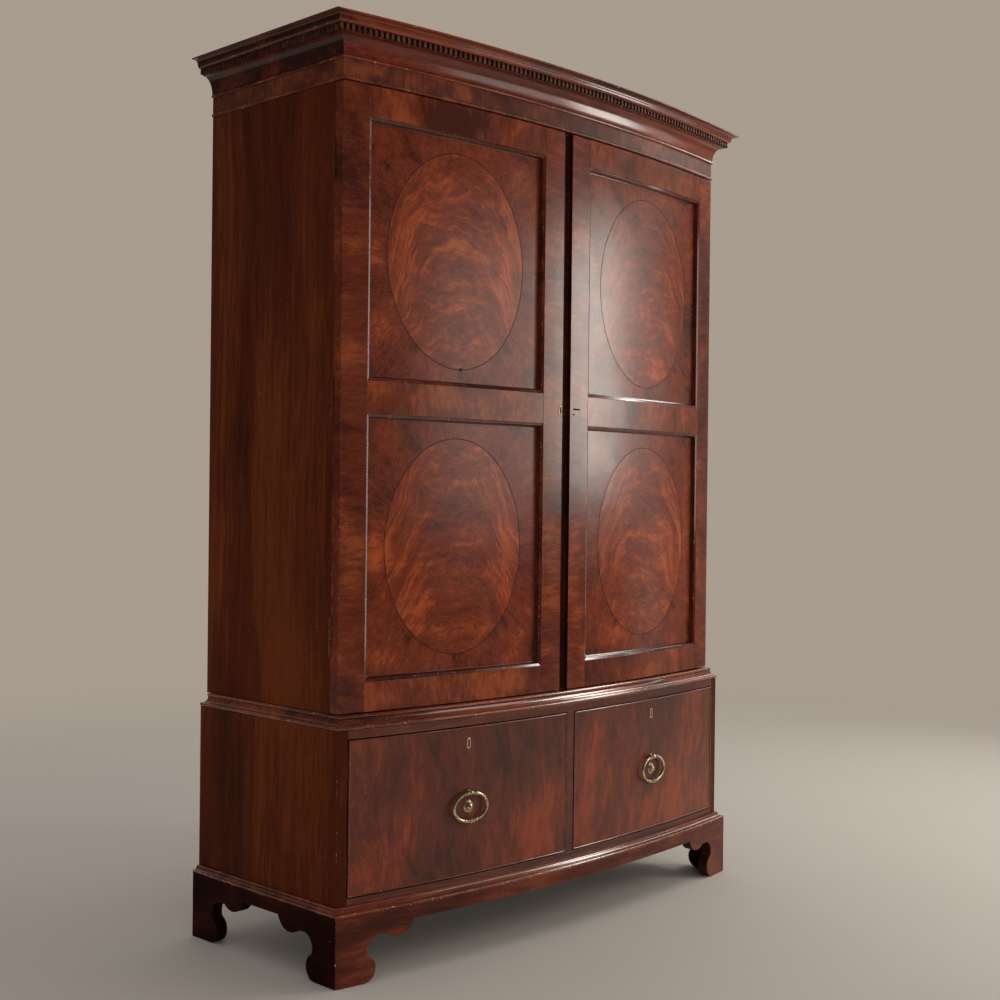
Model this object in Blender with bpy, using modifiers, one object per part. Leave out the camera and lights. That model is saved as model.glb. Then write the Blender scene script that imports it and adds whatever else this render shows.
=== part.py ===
"""Bow-front wardrobe: a panelled two-door cupboard on a base with two drawers, under a dentil cornice.

Metres, +Z up, front towards -Y. The origin is on the floor under the middle of the overall box. Every bowed
face is an arc about one upright axis, so boards, doors, drawers and mouldings are offsets of one curve.
"""

import math
from collections import namedtuple

import bmesh
import bpy
from mathutils import Vector

# Overall sizes
CASE_WIDTH = 1.356
CASE_DEPTH = 0.549
BOW_RISE = 0.0573
PLINTH_HEIGHT = 0.158
BASE_HEIGHT = 0.393
WAIST_HEIGHT = 0.030
CUPBOARD_HEIGHT = 1.389

# How far each stage stands out from the cupboard, at its sides and along its front
Stage = namedtuple("Stage", "side front")
CUPBOARD = Stage(0.0, 0.0)
BASE = Stage(0.018, 0.026)
PLINTH = Stage(0.0355, 0.050)

# Boards and clearances
FIT_GAP = 0.0003
SIDE_THICKNESS = 0.020
BASE_SIDE_THICKNESS = 0.026
BACK_THICKNESS = 0.012
CUPBOARD_BOARD = 0.022
BASE_TOP_BOARD = 0.0195
BASE_BOTTOM_BOARD = 0.026
DIVIDER_THICKNESS = 0.024
PLINTH_THICKNESS = 0.030
BOW_STEPS = 24

# Cornice, from the necking bead up
NECK_BEAD_HEIGHT = 0.008
NECK_BEAD_PROUD = 0.0035
FRIEZE_HEIGHT = 0.039
FRIEZE_THICKNESS = 0.020
COVE_BEAD_HEIGHT = 0.006
COVE_BEAD_PROUD = 0.0045
COVE_START = 0.0025
COVE_HEIGHT = 0.0405
COVE_REACH = 0.0235
FILLET_HEIGHT = 0.002
FILLET_PROUD = 0.003
DENTIL_HEIGHT = 0.0125
DENTIL_BACKING = 0.003
DENTIL_DEPTH = 0.0075
DENTIL_WIDTH = 0.0072
DENTIL_PITCH = 0.0145
CROWN_HEIGHT = 0.022
CROWN_REACH = 0.016
CROWN_FILLET = 0.0035
CROWN_FILLET_PROUD = 0.0082
DUST_BOARD = 0.010

# Waist moulding and plinth moulding
WAIST_LEDGE = 0.040
WAIST_NOSE_PROUD = 0.002
WAIST_NOSE_HEIGHT = 0.008
WAIST_BEAD = 0.007
PLINTH_LIP_HEIGHT = 0.0105
PLINTH_LIP_LEDGE = 0.005

# Feet, measured from the plinth's corner
TOE_WIDTH = 0.0705
KNOB_RADIUS = 0.031
NECK_RADIUS = 0.031
NECK_SHIFT = 0.040
NECK_LIFT = 0.0095
LOBE_RADIUS = 0.0445
LOBE_SHIFT = 0.0495
LOBE_LIFT = 0.0325

# Doors
DOOR_THICKNESS = 0.026
DOOR_GAP = 0.0025
DOOR_BACK_GAP = 0.001
MEETING_GAP = 0.030
HINGE_STILE = 0.067
MEETING_STILE = 0.068
TOP_RAIL = 0.069
LOCK_RAIL = 0.0735
BOTTOM_RAIL = 0.0655
LOWER_PANEL_HEIGHT = 0.594
SLAM_STRIP_RECESS = 0.013
SLAM_STRIP_GAP = 0.0015
PANEL_RECESS = 0.014
PANEL_THICKNESS = 0.008
PANEL_MOULD_WIDTH = 0.0105
PANEL_MOULD_DROP = 0.0015

# Hinges
HINGE_LENGTH = 0.084
HINGE_FROM_END = 0.1665
HINGE_KNUCKLES = 3
LEAF_WIDTH = 0.018
LEAF_THICKNESS = 0.0022
LEAF_SETBACK = 0.0004
KNUCKLE_RADIUS = 0.0030
PIN_RADIUS = 0.0015
PIN_CLEARANCE = 0.0001
KNUCKLE_GAP = 0.0005
KNUCKLE_CLEARANCE = 0.0006
HINGE_AXIS_PROUD = 0.0010

# Drawers
DRAWER_GAP = 0.002
DRAWER_FRONT = 0.022
DRAWER_SIDE = 0.012
DRAWER_SIDE_INSET = 0.002
DRAWER_SIDE_DROP = 0.014
DRAWER_BOTTOM = 0.008
DRAWER_BOTTOM_LIFT = 0.006
DRAWER_BACK_GAP = 0.010

# Drawer pulls
RING_WIDTH = 0.106
RING_HEIGHT = 0.072
RING_WIRE = 0.0032
RING_NECK = 0.0020
RING_STANDOFF = 0.009
RING_BELOW_TOP = 0.149
RING_POINTS = 32
EYE_RADIUS = 0.0052
EYE_CLEARANCE = 0.0007
POST_RADIUS = 0.0028
POST_FOOT_RADIUS = 0.0060
POST_FOOT_THICKNESS = 0.0030

# Hanging rail
RAIL_RADIUS = 0.0125
RAIL_FLANGE_RADIUS = 0.030
RAIL_FLANGE_THICKNESS = 0.008
RAIL_BELOW_TOP = 0.085
ROUND_STEPS = 16

# Worked out from the sizes above
HALF_WIDTH = CASE_WIDTH / 2
BOW_RADIUS = (HALF_WIDTH**2 + BOW_RISE**2) / (2 * BOW_RISE)
DENTIL_BACK = COVE_START + COVE_REACH
DENTIL_FLOOR = DENTIL_BACK + FIT_GAP + DENTIL_BACKING
DENTIL_FACE = DENTIL_FLOOR + DENTIL_DEPTH
CROWN_TIP = DENTIL_FACE + CROWN_REACH + CROWN_FILLET_PROUD
BACK_Y = (CASE_DEPTH + CROWN_TIP) / 2
BOW_CENTRE_Y = BACK_Y - CASE_DEPTH + BOW_RADIUS
BASE_Z = PLINTH_HEIGHT + FIT_GAP
BASE_TOP_Z = PLINTH_HEIGHT + BASE_HEIGHT
WAIST_TOP_Z = BASE_TOP_Z + WAIST_HEIGHT
CUPBOARD_Z = WAIST_TOP_Z + FIT_GAP
CUPBOARD_TOP_Z = WAIST_TOP_Z + CUPBOARD_HEIGHT
FRIEZE_TOP_Z = CUPBOARD_TOP_Z + NECK_BEAD_HEIGHT + FRIEZE_HEIGHT
COVE_Z = FRIEZE_TOP_Z + COVE_BEAD_HEIGHT
FILLET_Z = COVE_Z + COVE_HEIGHT
DENTIL_Z = FILLET_Z + FILLET_HEIGHT
CROWN_Z = DENTIL_Z + DENTIL_HEIGHT
TOP_Z = CROWN_Z + CROWN_HEIGHT
CASE_FRONT = -DOOR_THICKNESS - DOOR_BACK_GAP
DOOR_Z = WAIST_TOP_Z + DOOR_GAP
DOOR_TOP_Z = CUPBOARD_TOP_Z - DOOR_GAP
INNER_HALF_WIDTH = HALF_WIDTH - SIDE_THICKNESS
BASE_INNER_HALF_WIDTH = HALF_WIDTH + BASE.side - BASE_SIDE_THICKNESS
DRAWER_FLOOR_Z = PLINTH_HEIGHT + BASE_BOTTOM_BOARD
DRAWER_ROOF_Z = BASE_TOP_Z - BASE_TOP_BOARD

Finish = namedtuple("Finish", "name color roughness metallic")
CASE_WOOD = Finish("mahogany_case", (0.085, 0.022, 0.010, 1.0), 0.36, 0.0)
FIGURED_WOOD = Finish("mahogany_figured", (0.110, 0.026, 0.012, 1.0), 0.30, 0.0)
MOULDED_WOOD = Finish("mahogany_moulded", (0.075, 0.018, 0.010, 1.0), 0.32, 0.0)
INSIDE_WOOD = Finish("inside_softwood", (0.260, 0.150, 0.075, 1.0), 0.62, 0.0)
BRASS = Finish("aged_brass", (0.420, 0.290, 0.110, 1.0), 0.34, 1.0)


def clear_scene():
    """Remove what the scene holds before the wardrobe is made."""
    for thing in list(bpy.data.objects):
        bpy.data.objects.remove(thing, do_unlink=True)


def collection_named(name):
    """A new collection linked to the scene."""
    made = bpy.data.collections.new(name)
    bpy.context.scene.collection.children.link(made)
    return made


def material_of(finish):
    """The material of a finish, made once."""
    made = bpy.data.materials.get(finish.name)
    if made:
        return made
    made = bpy.data.materials.new(finish.name)
    made.use_nodes = True
    shader = made.node_tree.nodes["Principled BSDF"]
    shader.inputs["Base Color"].default_value = finish.color
    shader.inputs["Roughness"].default_value = finish.roughness
    shader.inputs["Metallic"].default_value = finish.metallic
    return made


def add_piece(name, data, finish, parent=None, location=(0.0, 0.0, 0.0)):
    """Place data as a named sub-part, at a world location, under an optional empty."""
    piece = bpy.data.objects.new(name, data)
    data.materials.clear()
    data.materials.append(material_of(finish))
    PIECES.objects.link(piece)
    hang_on(piece, parent, location)
    return piece


def hang_on(piece, parent, location):
    """Give a piece its parent and its world location."""
    piece.location = Vector(location)
    if parent:
        piece.parent = parent
        piece.location -= parent.location


def add_axis(name, location):
    """An empty on the axis of a joint."""
    axis = bpy.data.objects.new(name, None)
    axis.location = location
    axis.empty_display_size = 0.05
    PIECES.objects.link(axis)
    return axis


def add_cutter(name, data):
    """A shape that only cuts others."""
    cutter = bpy.data.objects.new(name, data)
    cutter.hide_render = True
    cutter.display_type = "WIRE"
    CUTTERS.objects.link(cutter)
    return cutter


def combine(piece, other, operation):
    """Cut a piece by another object, or join the two."""
    modifier = piece.modifiers.new(f"{operation.lower()}_{other.name}", "BOOLEAN")
    modifier.operation = operation
    modifier.object = other
    return piece


def outline_curve(name, outline, thickness):
    """A flat outline of (x, y) points as a 2D curve with a thickness."""
    curve = bpy.data.curves.new(name, "CURVE")
    curve.dimensions = "2D"
    curve.fill_mode = "BOTH"
    curve.extrude = thickness / 2
    spline = curve.splines.new("POLY")
    spline.points.add(len(outline) - 1)
    for point, (x, y) in zip(spline.points, outline):
        point.co = (x, y, 0.0, 1.0)
    spline.use_cyclic_u = True
    return curve


def outline_mesh(name, outline, thickness):
    """The same outline as a closed mesh, for long outlines, pieces that are cut and cutters."""
    shape = bmesh.new()
    face = shape.faces.new([shape.verts.new((x, y, -thickness / 2)) for x, y in outline])
    grown = bmesh.ops.extrude_face_region(shape, geom=[face])
    raised = [item for item in grown["geom"] if isinstance(item, bmesh.types.BMVert)]
    bmesh.ops.translate(shape, verts=raised, vec=(0.0, 0.0, thickness))
    bmesh.ops.recalc_face_normals(shape, faces=shape.faces)
    return mesh_from(name, shape)


def board(name, outline, low_z, high_z, finish, parent=None):
    """A flat-topped board: a plan outline between two heights."""
    curve = outline_curve(name, outline, high_z - low_z)
    return add_piece(name, curve, finish, parent, (0.0, 0.0, (low_z + high_z) / 2))


def cut_board(name, outline, low_z, high_z, finish, cutters, parent=None):
    """A board as a mesh, with pieces cut out of it."""
    mesh = outline_mesh(name, outline, high_z - low_z)
    piece = add_piece(name, mesh, finish, parent, (0.0, 0.0, (low_z + high_z) / 2))
    for cutter in cutters:
        combine(piece, cutter, "DIFFERENCE")
    return piece


def box_mesh(name, low, high):
    """A box between two corners."""
    shape = bmesh.new()
    bmesh.ops.create_cube(shape, size=1.0)
    middle = (Vector(low) + Vector(high)) / 2
    size = Vector(high) - Vector(low)
    for vertex in shape.verts:
        vertex.co = Vector(a * b for a, b in zip(vertex.co, size)) + middle
    return mesh_from(name, shape)


def rod_mesh(name, radius, low_z, high_z):
    """An upright rod about the Z axis."""
    shape = bmesh.new()
    length = high_z - low_z
    bmesh.ops.create_cone(
        shape, cap_ends=True, segments=ROUND_STEPS, radius1=radius, radius2=radius, depth=length
    )
    bmesh.ops.translate(shape, verts=shape.verts, vec=(0.0, 0.0, low_z + length / 2))
    return mesh_from(name, shape)


def mesh_from(name, shape):
    """Turn a bmesh into a mesh."""
    mesh = bpy.data.meshes.new(name)
    shape.to_mesh(mesh)
    shape.free()
    return mesh


def arc(centre, radius, start, end, steps):
    """Points on an arc, its angles in degrees. A radius may be a pair, for an ellipse."""
    across, up = radius if isinstance(radius, tuple) else (radius, radius)
    points = []
    for step in range(steps + 1):
        angle = math.radians(start + (end - start) * step / steps)
        points.append((centre[0] + across * math.cos(angle), centre[1] + up * math.sin(angle)))
    return points


def bow_y(x, offset, stage=CUPBOARD):
    """The y of the bow at x, offset outwards from a stage's front."""
    radius = BOW_RADIUS + stage.front + offset
    return BOW_CENTRE_Y - math.sqrt(radius**2 - x**2)


def bow_steps(width):
    """How many straight steps the bow takes over a width."""
    return max(2, round(abs(width) / CASE_WIDTH * BOW_STEPS))


def bow_run(x_from, x_to, offset, stage=CUPBOARD, steps=None):
    """Plan points along the bow between two x values."""
    steps = steps or bow_steps(x_to - x_from)
    places = [x_from + (x_to - x_from) * step / steps for step in range(steps + 1)]
    return [(x, bow_y(x, offset, stage)) for x in places]


def bow_strip(x_from, x_to, front, thickness, stage=CUPBOARD):
    """Plan outline of a bowed strip, front offset first."""
    back_run = bow_run(x_to, x_from, front - thickness, stage)
    return bow_run(x_from, x_to, front, stage) + back_run


def bow_to_back(x_from, x_to, front, back_y, stage=CUPBOARD):
    """Plan outline with a bowed front edge and a straight back edge."""
    return bow_run(x_from, x_to, front, stage) + [(x_to, back_y), (x_from, back_y)]


def plan_stations(stage, front=True, left=True, right=True, trim=0.0, closed=False):
    """Where a moulding's profile is set along its run, each a rule from offset to plan point.

    The run goes from the back of the left side, round the bow, to the back of the right side. A trim draws
    its mitred ends back from the corners. A closed run also goes along the back, flat to the wall.
    """

    def at_back(sign):
        def place(offset):
            inset = min(offset, 0.0) if closed else 0.0
            return (sign * (HALF_WIDTH + stage.side + offset), BACK_Y + inset)

        return place

    def on_bow(share):
        def place(offset):
            x = share * (HALF_WIDTH + stage.side + offset)
            return (x - math.copysign(trim, x) if front and abs(share) == 1 else x, bow_y(x, offset, stage))

        return place

    def at_mitre(sign):
        def place(offset):
            x, y = on_bow(sign)(offset)
            return (x, y + trim)

        return place

    shares = [2 * step / BOW_STEPS - 1 for step in range(BOW_STEPS + 1)]
    bow = [on_bow(share) for share in shares] if front else []
    start = [at_back(-1)] if left else []
    end = [at_back(1)] if right else []
    if not front:
        bow = [at_mitre(-1 if left else 1)]
    return start + bow + end


def run_moulding(name, profile, stations, finish, closed=False):
    """Skin a closed profile of (offset, z) points along its stations."""
    shape = bmesh.new()
    rows = []
    for place in stations:
        rows.append([shape.verts.new((*place(offset), z)) for offset, z in profile])
    around = len(profile)
    pairs = list(zip(rows, rows[1:] + rows[:1]))
    for row, following in pairs if closed else pairs[:-1]:
        for i in range(around):
            j = (i + 1) % around
            shape.faces.new((row[i], row[j], following[j], following[i]))
    if not closed:
        shape.faces.new(rows[0])
        shape.faces.new(rows[-1])
    bmesh.ops.recalc_face_normals(shape, faces=shape.faces)
    return add_piece(name, mesh_from(name, shape), finish)


def build_cornice():
    """The lift-off cornice: frieze frame, moulding, dentils and dust board."""
    neck = arc(
        (0.0, CUPBOARD_TOP_Z + FIT_GAP + NECK_BEAD_HEIGHT / 2),
        (NECK_BEAD_PROUD, NECK_BEAD_HEIGHT / 2),
        -90,
        90,
        6,
    )
    frieze_top = TOP_Z - DUST_BOARD - FIT_GAP
    inner = [(-FRIEZE_THICKNESS, frieze_top), (-FRIEZE_THICKNESS, CUPBOARD_TOP_Z + FIT_GAP)]
    frieze = neck + [(0.0, frieze_top)] + inner
    run_moulding("cornice_frieze", frieze, plan_stations(CUPBOARD, closed=True), CASE_WOOD, closed=True)

    cove_tip = COVE_START + COVE_REACH
    bead = arc(
        (COVE_START, FRIEZE_TOP_Z + COVE_BEAD_HEIGHT / 2),
        (COVE_BEAD_PROUD - COVE_START, COVE_BEAD_HEIGHT / 2),
        -90,
        60,
        4,
    )
    cove = arc((cove_tip, COVE_Z), (COVE_REACH, COVE_HEIGHT), 180, 90, 8)
    fillet = [(cove_tip + FILLET_PROUD, FILLET_Z), (cove_tip + FILLET_PROUD, DENTIL_Z - FIT_GAP)]
    groove = [(DENTIL_BACK, DENTIL_Z - FIT_GAP), (DENTIL_BACK, CROWN_Z + FIT_GAP)]
    crown_half = CROWN_REACH / 2
    crown_top = TOP_Z - CROWN_FILLET
    crown_rise = (crown_top - CROWN_Z - FIT_GAP) / 2
    crown_low = CROWN_Z + FIT_GAP
    crown = arc((DENTIL_FACE, crown_low + crown_rise), (crown_half, crown_rise), -90, 0, 4)
    crown += arc((DENTIL_FACE + CROWN_REACH, crown_low + crown_rise), (crown_half, crown_rise), 180, 90, 4)[1:]
    top = [(CROWN_TIP, crown_top), (CROWN_TIP, TOP_Z), (FIT_GAP, TOP_Z), (FIT_GAP, FRIEZE_TOP_Z)]
    profile = bead + cove + fillet + groove + crown + top
    run_moulding("cornice_moulding", profile, plan_stations(CUPBOARD), MOULDED_WOOD)

    cut_board("dentil_course", dentil_plan(), DENTIL_Z, CROWN_Z, MOULDED_WOOD, [])

    edge = [place(-FIT_GAP) for place in plan_stations(CUPBOARD)]
    board("cornice_dust_board", edge, TOP_Z - DUST_BOARD, TOP_Z, INSIDE_WOOD)


def dentil_plan():
    """Plan outline of the toothed strip, round the front and both sides."""
    inner = [place(DENTIL_BACK + FIT_GAP) for place in plan_stations(CUPBOARD)]
    outer = side_teeth(-1) + front_teeth() + side_teeth(1)
    return outer + inner[::-1]


def teeth_edges(length):
    """Where teeth start and end along a run that is whole at both of its corners."""
    count = max(1, round((length - DENTIL_WIDTH) / DENTIL_PITCH))
    pitch = (length - DENTIL_WIDTH) / count
    return [(step * pitch + DENTIL_WIDTH, (step + 1) * pitch) for step in range(count)]


def side_teeth(sign):
    """Toothed edge of one side, in the direction of the whole outline."""
    x_face = sign * (HALF_WIDTH + DENTIL_FACE)
    x_floor = sign * (HALF_WIDTH + DENTIL_FLOOR)
    corner_y = bow_y(HALF_WIDTH + DENTIL_FACE, DENTIL_FACE)
    points = [(x_face, corner_y)]
    for gap_start, gap_end in teeth_edges(BACK_Y - corner_y):
        start, end = corner_y + gap_start, corner_y + gap_end
        points += [(x_face, start), (x_floor, start), (x_floor, end), (x_face, end)]
    points.append((x_face, BACK_Y))
    return points[1:] if sign > 0 else points[:0:-1]


def front_teeth():
    """Toothed edge of the bow, from left to right, with both corner teeth."""
    face, floor = DENTIL_FACE, DENTIL_FLOOR
    radius = BOW_RADIUS + face
    reach = math.asin((HALF_WIDTH + face) / radius)
    corner = (HALF_WIDTH + face, bow_y(HALF_WIDTH + face, face))
    points = [(-corner[0], corner[1])]
    for gap_start, gap_end in teeth_edges(2 * reach * radius):
        for along, offset in ((gap_start, face), (gap_start, floor), (gap_end, floor), (gap_end, face)):
            angle = along / radius - reach
            across = BOW_RADIUS + offset
            points.append((across * math.sin(angle), BOW_CENTRE_Y - across * math.cos(angle)))
    points.append(corner)
    return points


def hinge_places():
    """Each hinge's name, side and height."""
    span = (DOOR_Z + HINGE_FROM_END, DOOR_TOP_Z - HINGE_FROM_END)
    heights = {"top": span[1], "middle": (span[0] + span[1]) / 2, "bottom": span[0]}
    for side, sign in (("left", -1), ("right", 1)):
        for height_name, height in heights.items():
            yield f"{side}_{height_name}_hinge", sign, height


def hinge_axis_xy(sign):
    """Plan place of the hinge pins of one door."""
    joint = -DOOR_THICKNESS - DOOR_BACK_GAP / 2
    return (sign * (HALF_WIDTH + HINGE_AXIS_PROUD), bow_y(HALF_WIDTH, joint))


def set_hinge(thing, sign, height):
    """Turn a hinge piece to the bow's slope at the case's corner and put it at its height.

    The shape is drawn for the left side. A half turn about Y makes it the right side's.
    """
    slope = math.asin(HALF_WIDTH / (BOW_RADIUS - DOOR_THICKNESS))
    thing.rotation_euler = (0.0, 0.0, -slope) if sign < 0 else (0.0, math.pi, slope)
    thing.location = Vector((*hinge_axis_xy(sign), height))


def knuckle_spans():
    """Heights of the knuckles about the hinge's middle, from the bottom."""
    length = HINGE_LENGTH / HINGE_KNUCKLES
    return [
        (-HINGE_LENGTH / 2 + step * length + KNUCKLE_GAP / 2, -HINGE_LENGTH / 2 + (step + 1) * length - KNUCKLE_GAP / 2)
        for step in range(HINGE_KNUCKLES)
    ]


def leaf_mesh(name, turn, knuckles, pin):
    """One leaf of a hinge with its knuckles: turn is 1 for the case's leaf and -1 for the door's."""
    near, far = LEAF_SETBACK, LEAF_SETBACK + LEAF_THICKNESS
    low_y, high_y = sorted((turn * near, turn * far))
    clear_x = KNUCKLE_RADIUS + KNUCKLE_GAP
    half = HINGE_LENGTH / 2
    leaf = add_cutter(name, box_mesh(name, (clear_x, low_y, -half), (LEAF_WIDTH, high_y, half)))
    for index, (low_z, high_z) in enumerate(knuckles):
        tab = box_mesh(f"{name}_tab", (0.0, low_y, low_z), (clear_x + LEAF_THICKNESS, high_y, high_z))
        combine(leaf, add_cutter(f"{name}_tab_{index}", tab), "UNION")
        barrel = rod_mesh(f"{name}_barrel", KNUCKLE_RADIUS, low_z, high_z)
        combine(leaf, add_cutter(f"{name}_barrel_{index}", barrel), "UNION")
    if pin:
        rod = rod_mesh(f"{name}_pin", PIN_RADIUS, knuckles[0][1] - KNUCKLE_RADIUS, knuckles[-1][0] + KNUCKLE_RADIUS)
        combine(leaf, add_cutter(f"{name}_pin", rod), "UNION")
    else:
        bore = rod_mesh(f"{name}_bore", PIN_RADIUS + PIN_CLEARANCE, -half, half)
        combine(leaf, add_cutter(f"{name}_bore", bore), "DIFFERENCE")
    bpy.context.view_layer.update()
    return bpy.data.meshes.new_from_object(leaf.evaluated_get(bpy.context.evaluated_depsgraph_get()))


def hinge_cutter(name, turn, sign, height):
    """The housing of one leaf and of the barrel, cut in the case's side or in the door."""
    far = LEAF_SETBACK + LEAF_THICKNESS + FIT_GAP
    low_y, high_y = sorted((-turn * KNUCKLE_RADIUS, turn * far))
    half = HINGE_LENGTH / 2 + FIT_GAP
    housing = box_mesh(name, (-KNUCKLE_RADIUS, low_y, -half), (LEAF_WIDTH + FIT_GAP, high_y, half))
    cutter = add_cutter(name, housing)
    barrel = rod_mesh(f"{name}_barrel", KNUCKLE_RADIUS + KNUCKLE_CLEARANCE, -half, half)
    round_cutter = add_cutter(f"{name}_barrel", barrel)
    for thing in (cutter, round_cutter):
        set_hinge(thing, sign, height)
    return [cutter, round_cutter]


def build_hinges(door_axes):
    """Six butt hinges: a case leaf with the pin, and a door leaf with the middle knuckle."""
    spans = knuckle_spans()
    case_leaf = leaf_mesh("case_leaf", 1, spans[::2], pin=True)
    door_leaf = leaf_mesh("door_leaf", -1, spans[1::2], pin=False)
    for name, sign, height in hinge_places():
        case_piece = add_piece(f"{name}_case_leaf", case_leaf, BRASS)
        set_hinge(case_piece, sign, height)
        door_piece = add_piece(f"{name}_door_leaf", door_leaf, BRASS)
        set_hinge(door_piece, sign, height)
        axis = door_axes[sign]
        hang_on(door_piece, axis, door_piece.location.copy())


def hinge_cutters(sign, turn):
    """All the housings of one door's hinges, in the case or in the door."""
    owner = "case" if turn > 0 else "door"
    cutters = []
    for name, side, height in hinge_places():
        if side == sign:
            cutters += hinge_cutter(f"{name}_{owner}_housing", turn, sign, height)
    return cutters


def side_outline(sign, half_width, thickness, front, stage):
    """Plan outline of a case side, its front edge cut to the bow."""
    near, far = sorted((sign * half_width, sign * (half_width - thickness)))
    return bow_to_back(near, far, front, BACK_Y, stage)


def build_cupboard():
    """The cupboard's case and its hanging rail."""
    for side, sign in (("left", -1), ("right", 1)):
        outline = side_outline(sign, HALF_WIDTH, SIDE_THICKNESS, CASE_FRONT, CUPBOARD)
        cutters = hinge_cutters(sign, 1)
        cut_board(f"cupboard_side_{side}", outline, CUPBOARD_Z, CUPBOARD_TOP_Z, CASE_WOOD, cutters)
    reach = INNER_HALF_WIDTH - FIT_GAP
    inner_back = BACK_Y - BACK_THICKNESS - FIT_GAP
    shelf = bow_to_back(-reach, reach, CASE_FRONT, inner_back)
    board("cupboard_floor", shelf, CUPBOARD_Z, CUPBOARD_Z + CUPBOARD_BOARD, INSIDE_WOOD)
    board("cupboard_top", shelf, CUPBOARD_TOP_Z - CUPBOARD_BOARD, CUPBOARD_TOP_Z, INSIDE_WOOD)
    back = [(-reach, BACK_Y - BACK_THICKNESS), (reach, BACK_Y - BACK_THICKNESS), (reach, BACK_Y), (-reach, BACK_Y)]
    board("cupboard_back", back, CUPBOARD_Z, CUPBOARD_TOP_Z, INSIDE_WOOD)
    build_rail(reach)


def build_rail(reach):
    """A turned rail between the sides, with a flange at each end."""
    flange = reach - RAIL_FLANGE_THICKNESS
    profile = [
        (0.0, reach),
        (RAIL_FLANGE_RADIUS, reach),
        (RAIL_FLANGE_RADIUS, flange),
        (RAIL_RADIUS, flange),
        (RAIL_RADIUS, -flange),
        (RAIL_FLANGE_RADIUS, -flange),
        (RAIL_FLANGE_RADIUS, -reach),
        (0.0, -reach),
    ]
    depth_middle = (bow_y(HALF_WIDTH, CASE_FRONT) + BACK_Y - BACK_THICKNESS) / 2
    rail = turned_piece("hanging_rail", profile, BRASS)
    rail.rotation_euler = (0.0, math.pi / 2, 0.0)
    rail.location = (0.0, depth_middle, CUPBOARD_TOP_Z - CUPBOARD_BOARD - RAIL_BELOW_TOP)


def turned_piece(name, profile, finish):
    """A profile of (radius, height) points, top to bottom, turned about Z."""
    mesh = bpy.data.meshes.new(name)
    edges = [(i, i + 1) for i in range(len(profile) - 1)]
    mesh.from_pydata([(radius, 0.0, height) for radius, height in profile], edges, [])
    piece = add_piece(name, mesh, finish)
    screw = piece.modifiers.new("turn", "SCREW")
    screw.axis = "Z"
    screw.steps = screw.render_steps = ROUND_STEPS
    screw.use_merge_vertices = True
    screw.merge_threshold = 0.00001
    return piece


def panel_ring(x_low, x_high, z_low, z_high, inset, depth):
    """A rectangle on the bow, drawn in by an inset and set back by a depth, as 3D points."""
    along = bow_run(x_low + inset, x_high - inset, -depth, steps=bow_steps(x_high - x_low))
    bottom = [(x, y, z_low + inset) for x, y in along]
    top = [(x, y, z_high - inset) for x, y in along]
    return bottom + top[::-1]


def panel_mesh(name, x_low, x_high, z_low, z_high):
    """A bowed panel with its planted moulding standing round its face."""
    back = PANEL_RECESS + PANEL_THICKNESS
    bead = PANEL_MOULD_WIDTH / 3
    steps = [(0.0, back), (0.0, PANEL_MOULD_DROP + bead / 2), (bead / 2, PANEL_MOULD_DROP)]
    steps += [(bead, PANEL_MOULD_DROP), (1.5 * bead, PANEL_MOULD_DROP + bead / 2)]
    steps += [(2.4 * bead, PANEL_RECESS - bead / 2), (3 * bead, PANEL_RECESS)]
    shape = bmesh.new()
    rings = []
    for inset, depth in steps:
        points = panel_ring(x_low, x_high, z_low, z_high, inset + FIT_GAP, depth)
        rings.append([shape.verts.new(point) for point in points])
    around = len(rings[0])
    for ring, following in zip(rings, rings[1:]):
        for i in range(around):
            j = (i + 1) % around
            shape.faces.new((ring[i], ring[j], following[j], following[i]))
    for ring in (rings[0], rings[-1]):
        for i in range(around // 2 - 1):
            shape.faces.new((ring[i], ring[i + 1], ring[around - 2 - i], ring[around - 1 - i]))
    bmesh.ops.recalc_face_normals(shape, faces=shape.faces)
    return mesh_from(name, shape)


def build_door(side, sign, axis):
    """One framed door with two panels, built closed."""
    outer = HALF_WIDTH
    inner = MEETING_GAP / 2
    stile_edge = outer - HINGE_STILE
    meeting_edge = inner + MEETING_STILE

    def across(near, far):
        return sorted((sign * near, sign * far))

    stile = bow_strip(*across(stile_edge, outer), 0.0, DOOR_THICKNESS)
    cutters = hinge_cutters(sign, -1)
    cut_board(f"{side}_door_hinge_stile", stile, DOOR_Z, DOOR_TOP_Z, FIGURED_WOOD, cutters, axis)

    meeting = meeting_outline(sign, inner, meeting_edge)
    board(f"{side}_door_meeting_stile", meeting, DOOR_Z, DOOR_TOP_Z, FIGURED_WOOD, axis)

    rail = bow_strip(*across(meeting_edge + FIT_GAP, stile_edge - FIT_GAP), 0.0, DOOR_THICKNESS)
    lower_z = DOOR_Z + BOTTOM_RAIL
    lock_z = lower_z + LOWER_PANEL_HEIGHT
    upper_z = lock_z + LOCK_RAIL
    upper_top = DOOR_TOP_Z - TOP_RAIL
    board(f"{side}_door_bottom_rail", rail, DOOR_Z, lower_z, FIGURED_WOOD, axis)
    board(f"{side}_door_lock_rail", rail, lock_z, upper_z, FIGURED_WOOD, axis)
    board(f"{side}_door_top_rail", rail, upper_top, DOOR_TOP_Z, FIGURED_WOOD, axis)

    for name, low_z, high_z in (("lower_panel", lower_z, lock_z), ("upper_panel", upper_z, upper_top)):
        x_low, x_high = across(meeting_edge, stile_edge)
        mesh = panel_mesh(f"{side}_door_{name}", x_low, x_high, low_z, high_z)
        add_piece(f"{side}_door_{name}", mesh, FIGURED_WOOD, axis)


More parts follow.
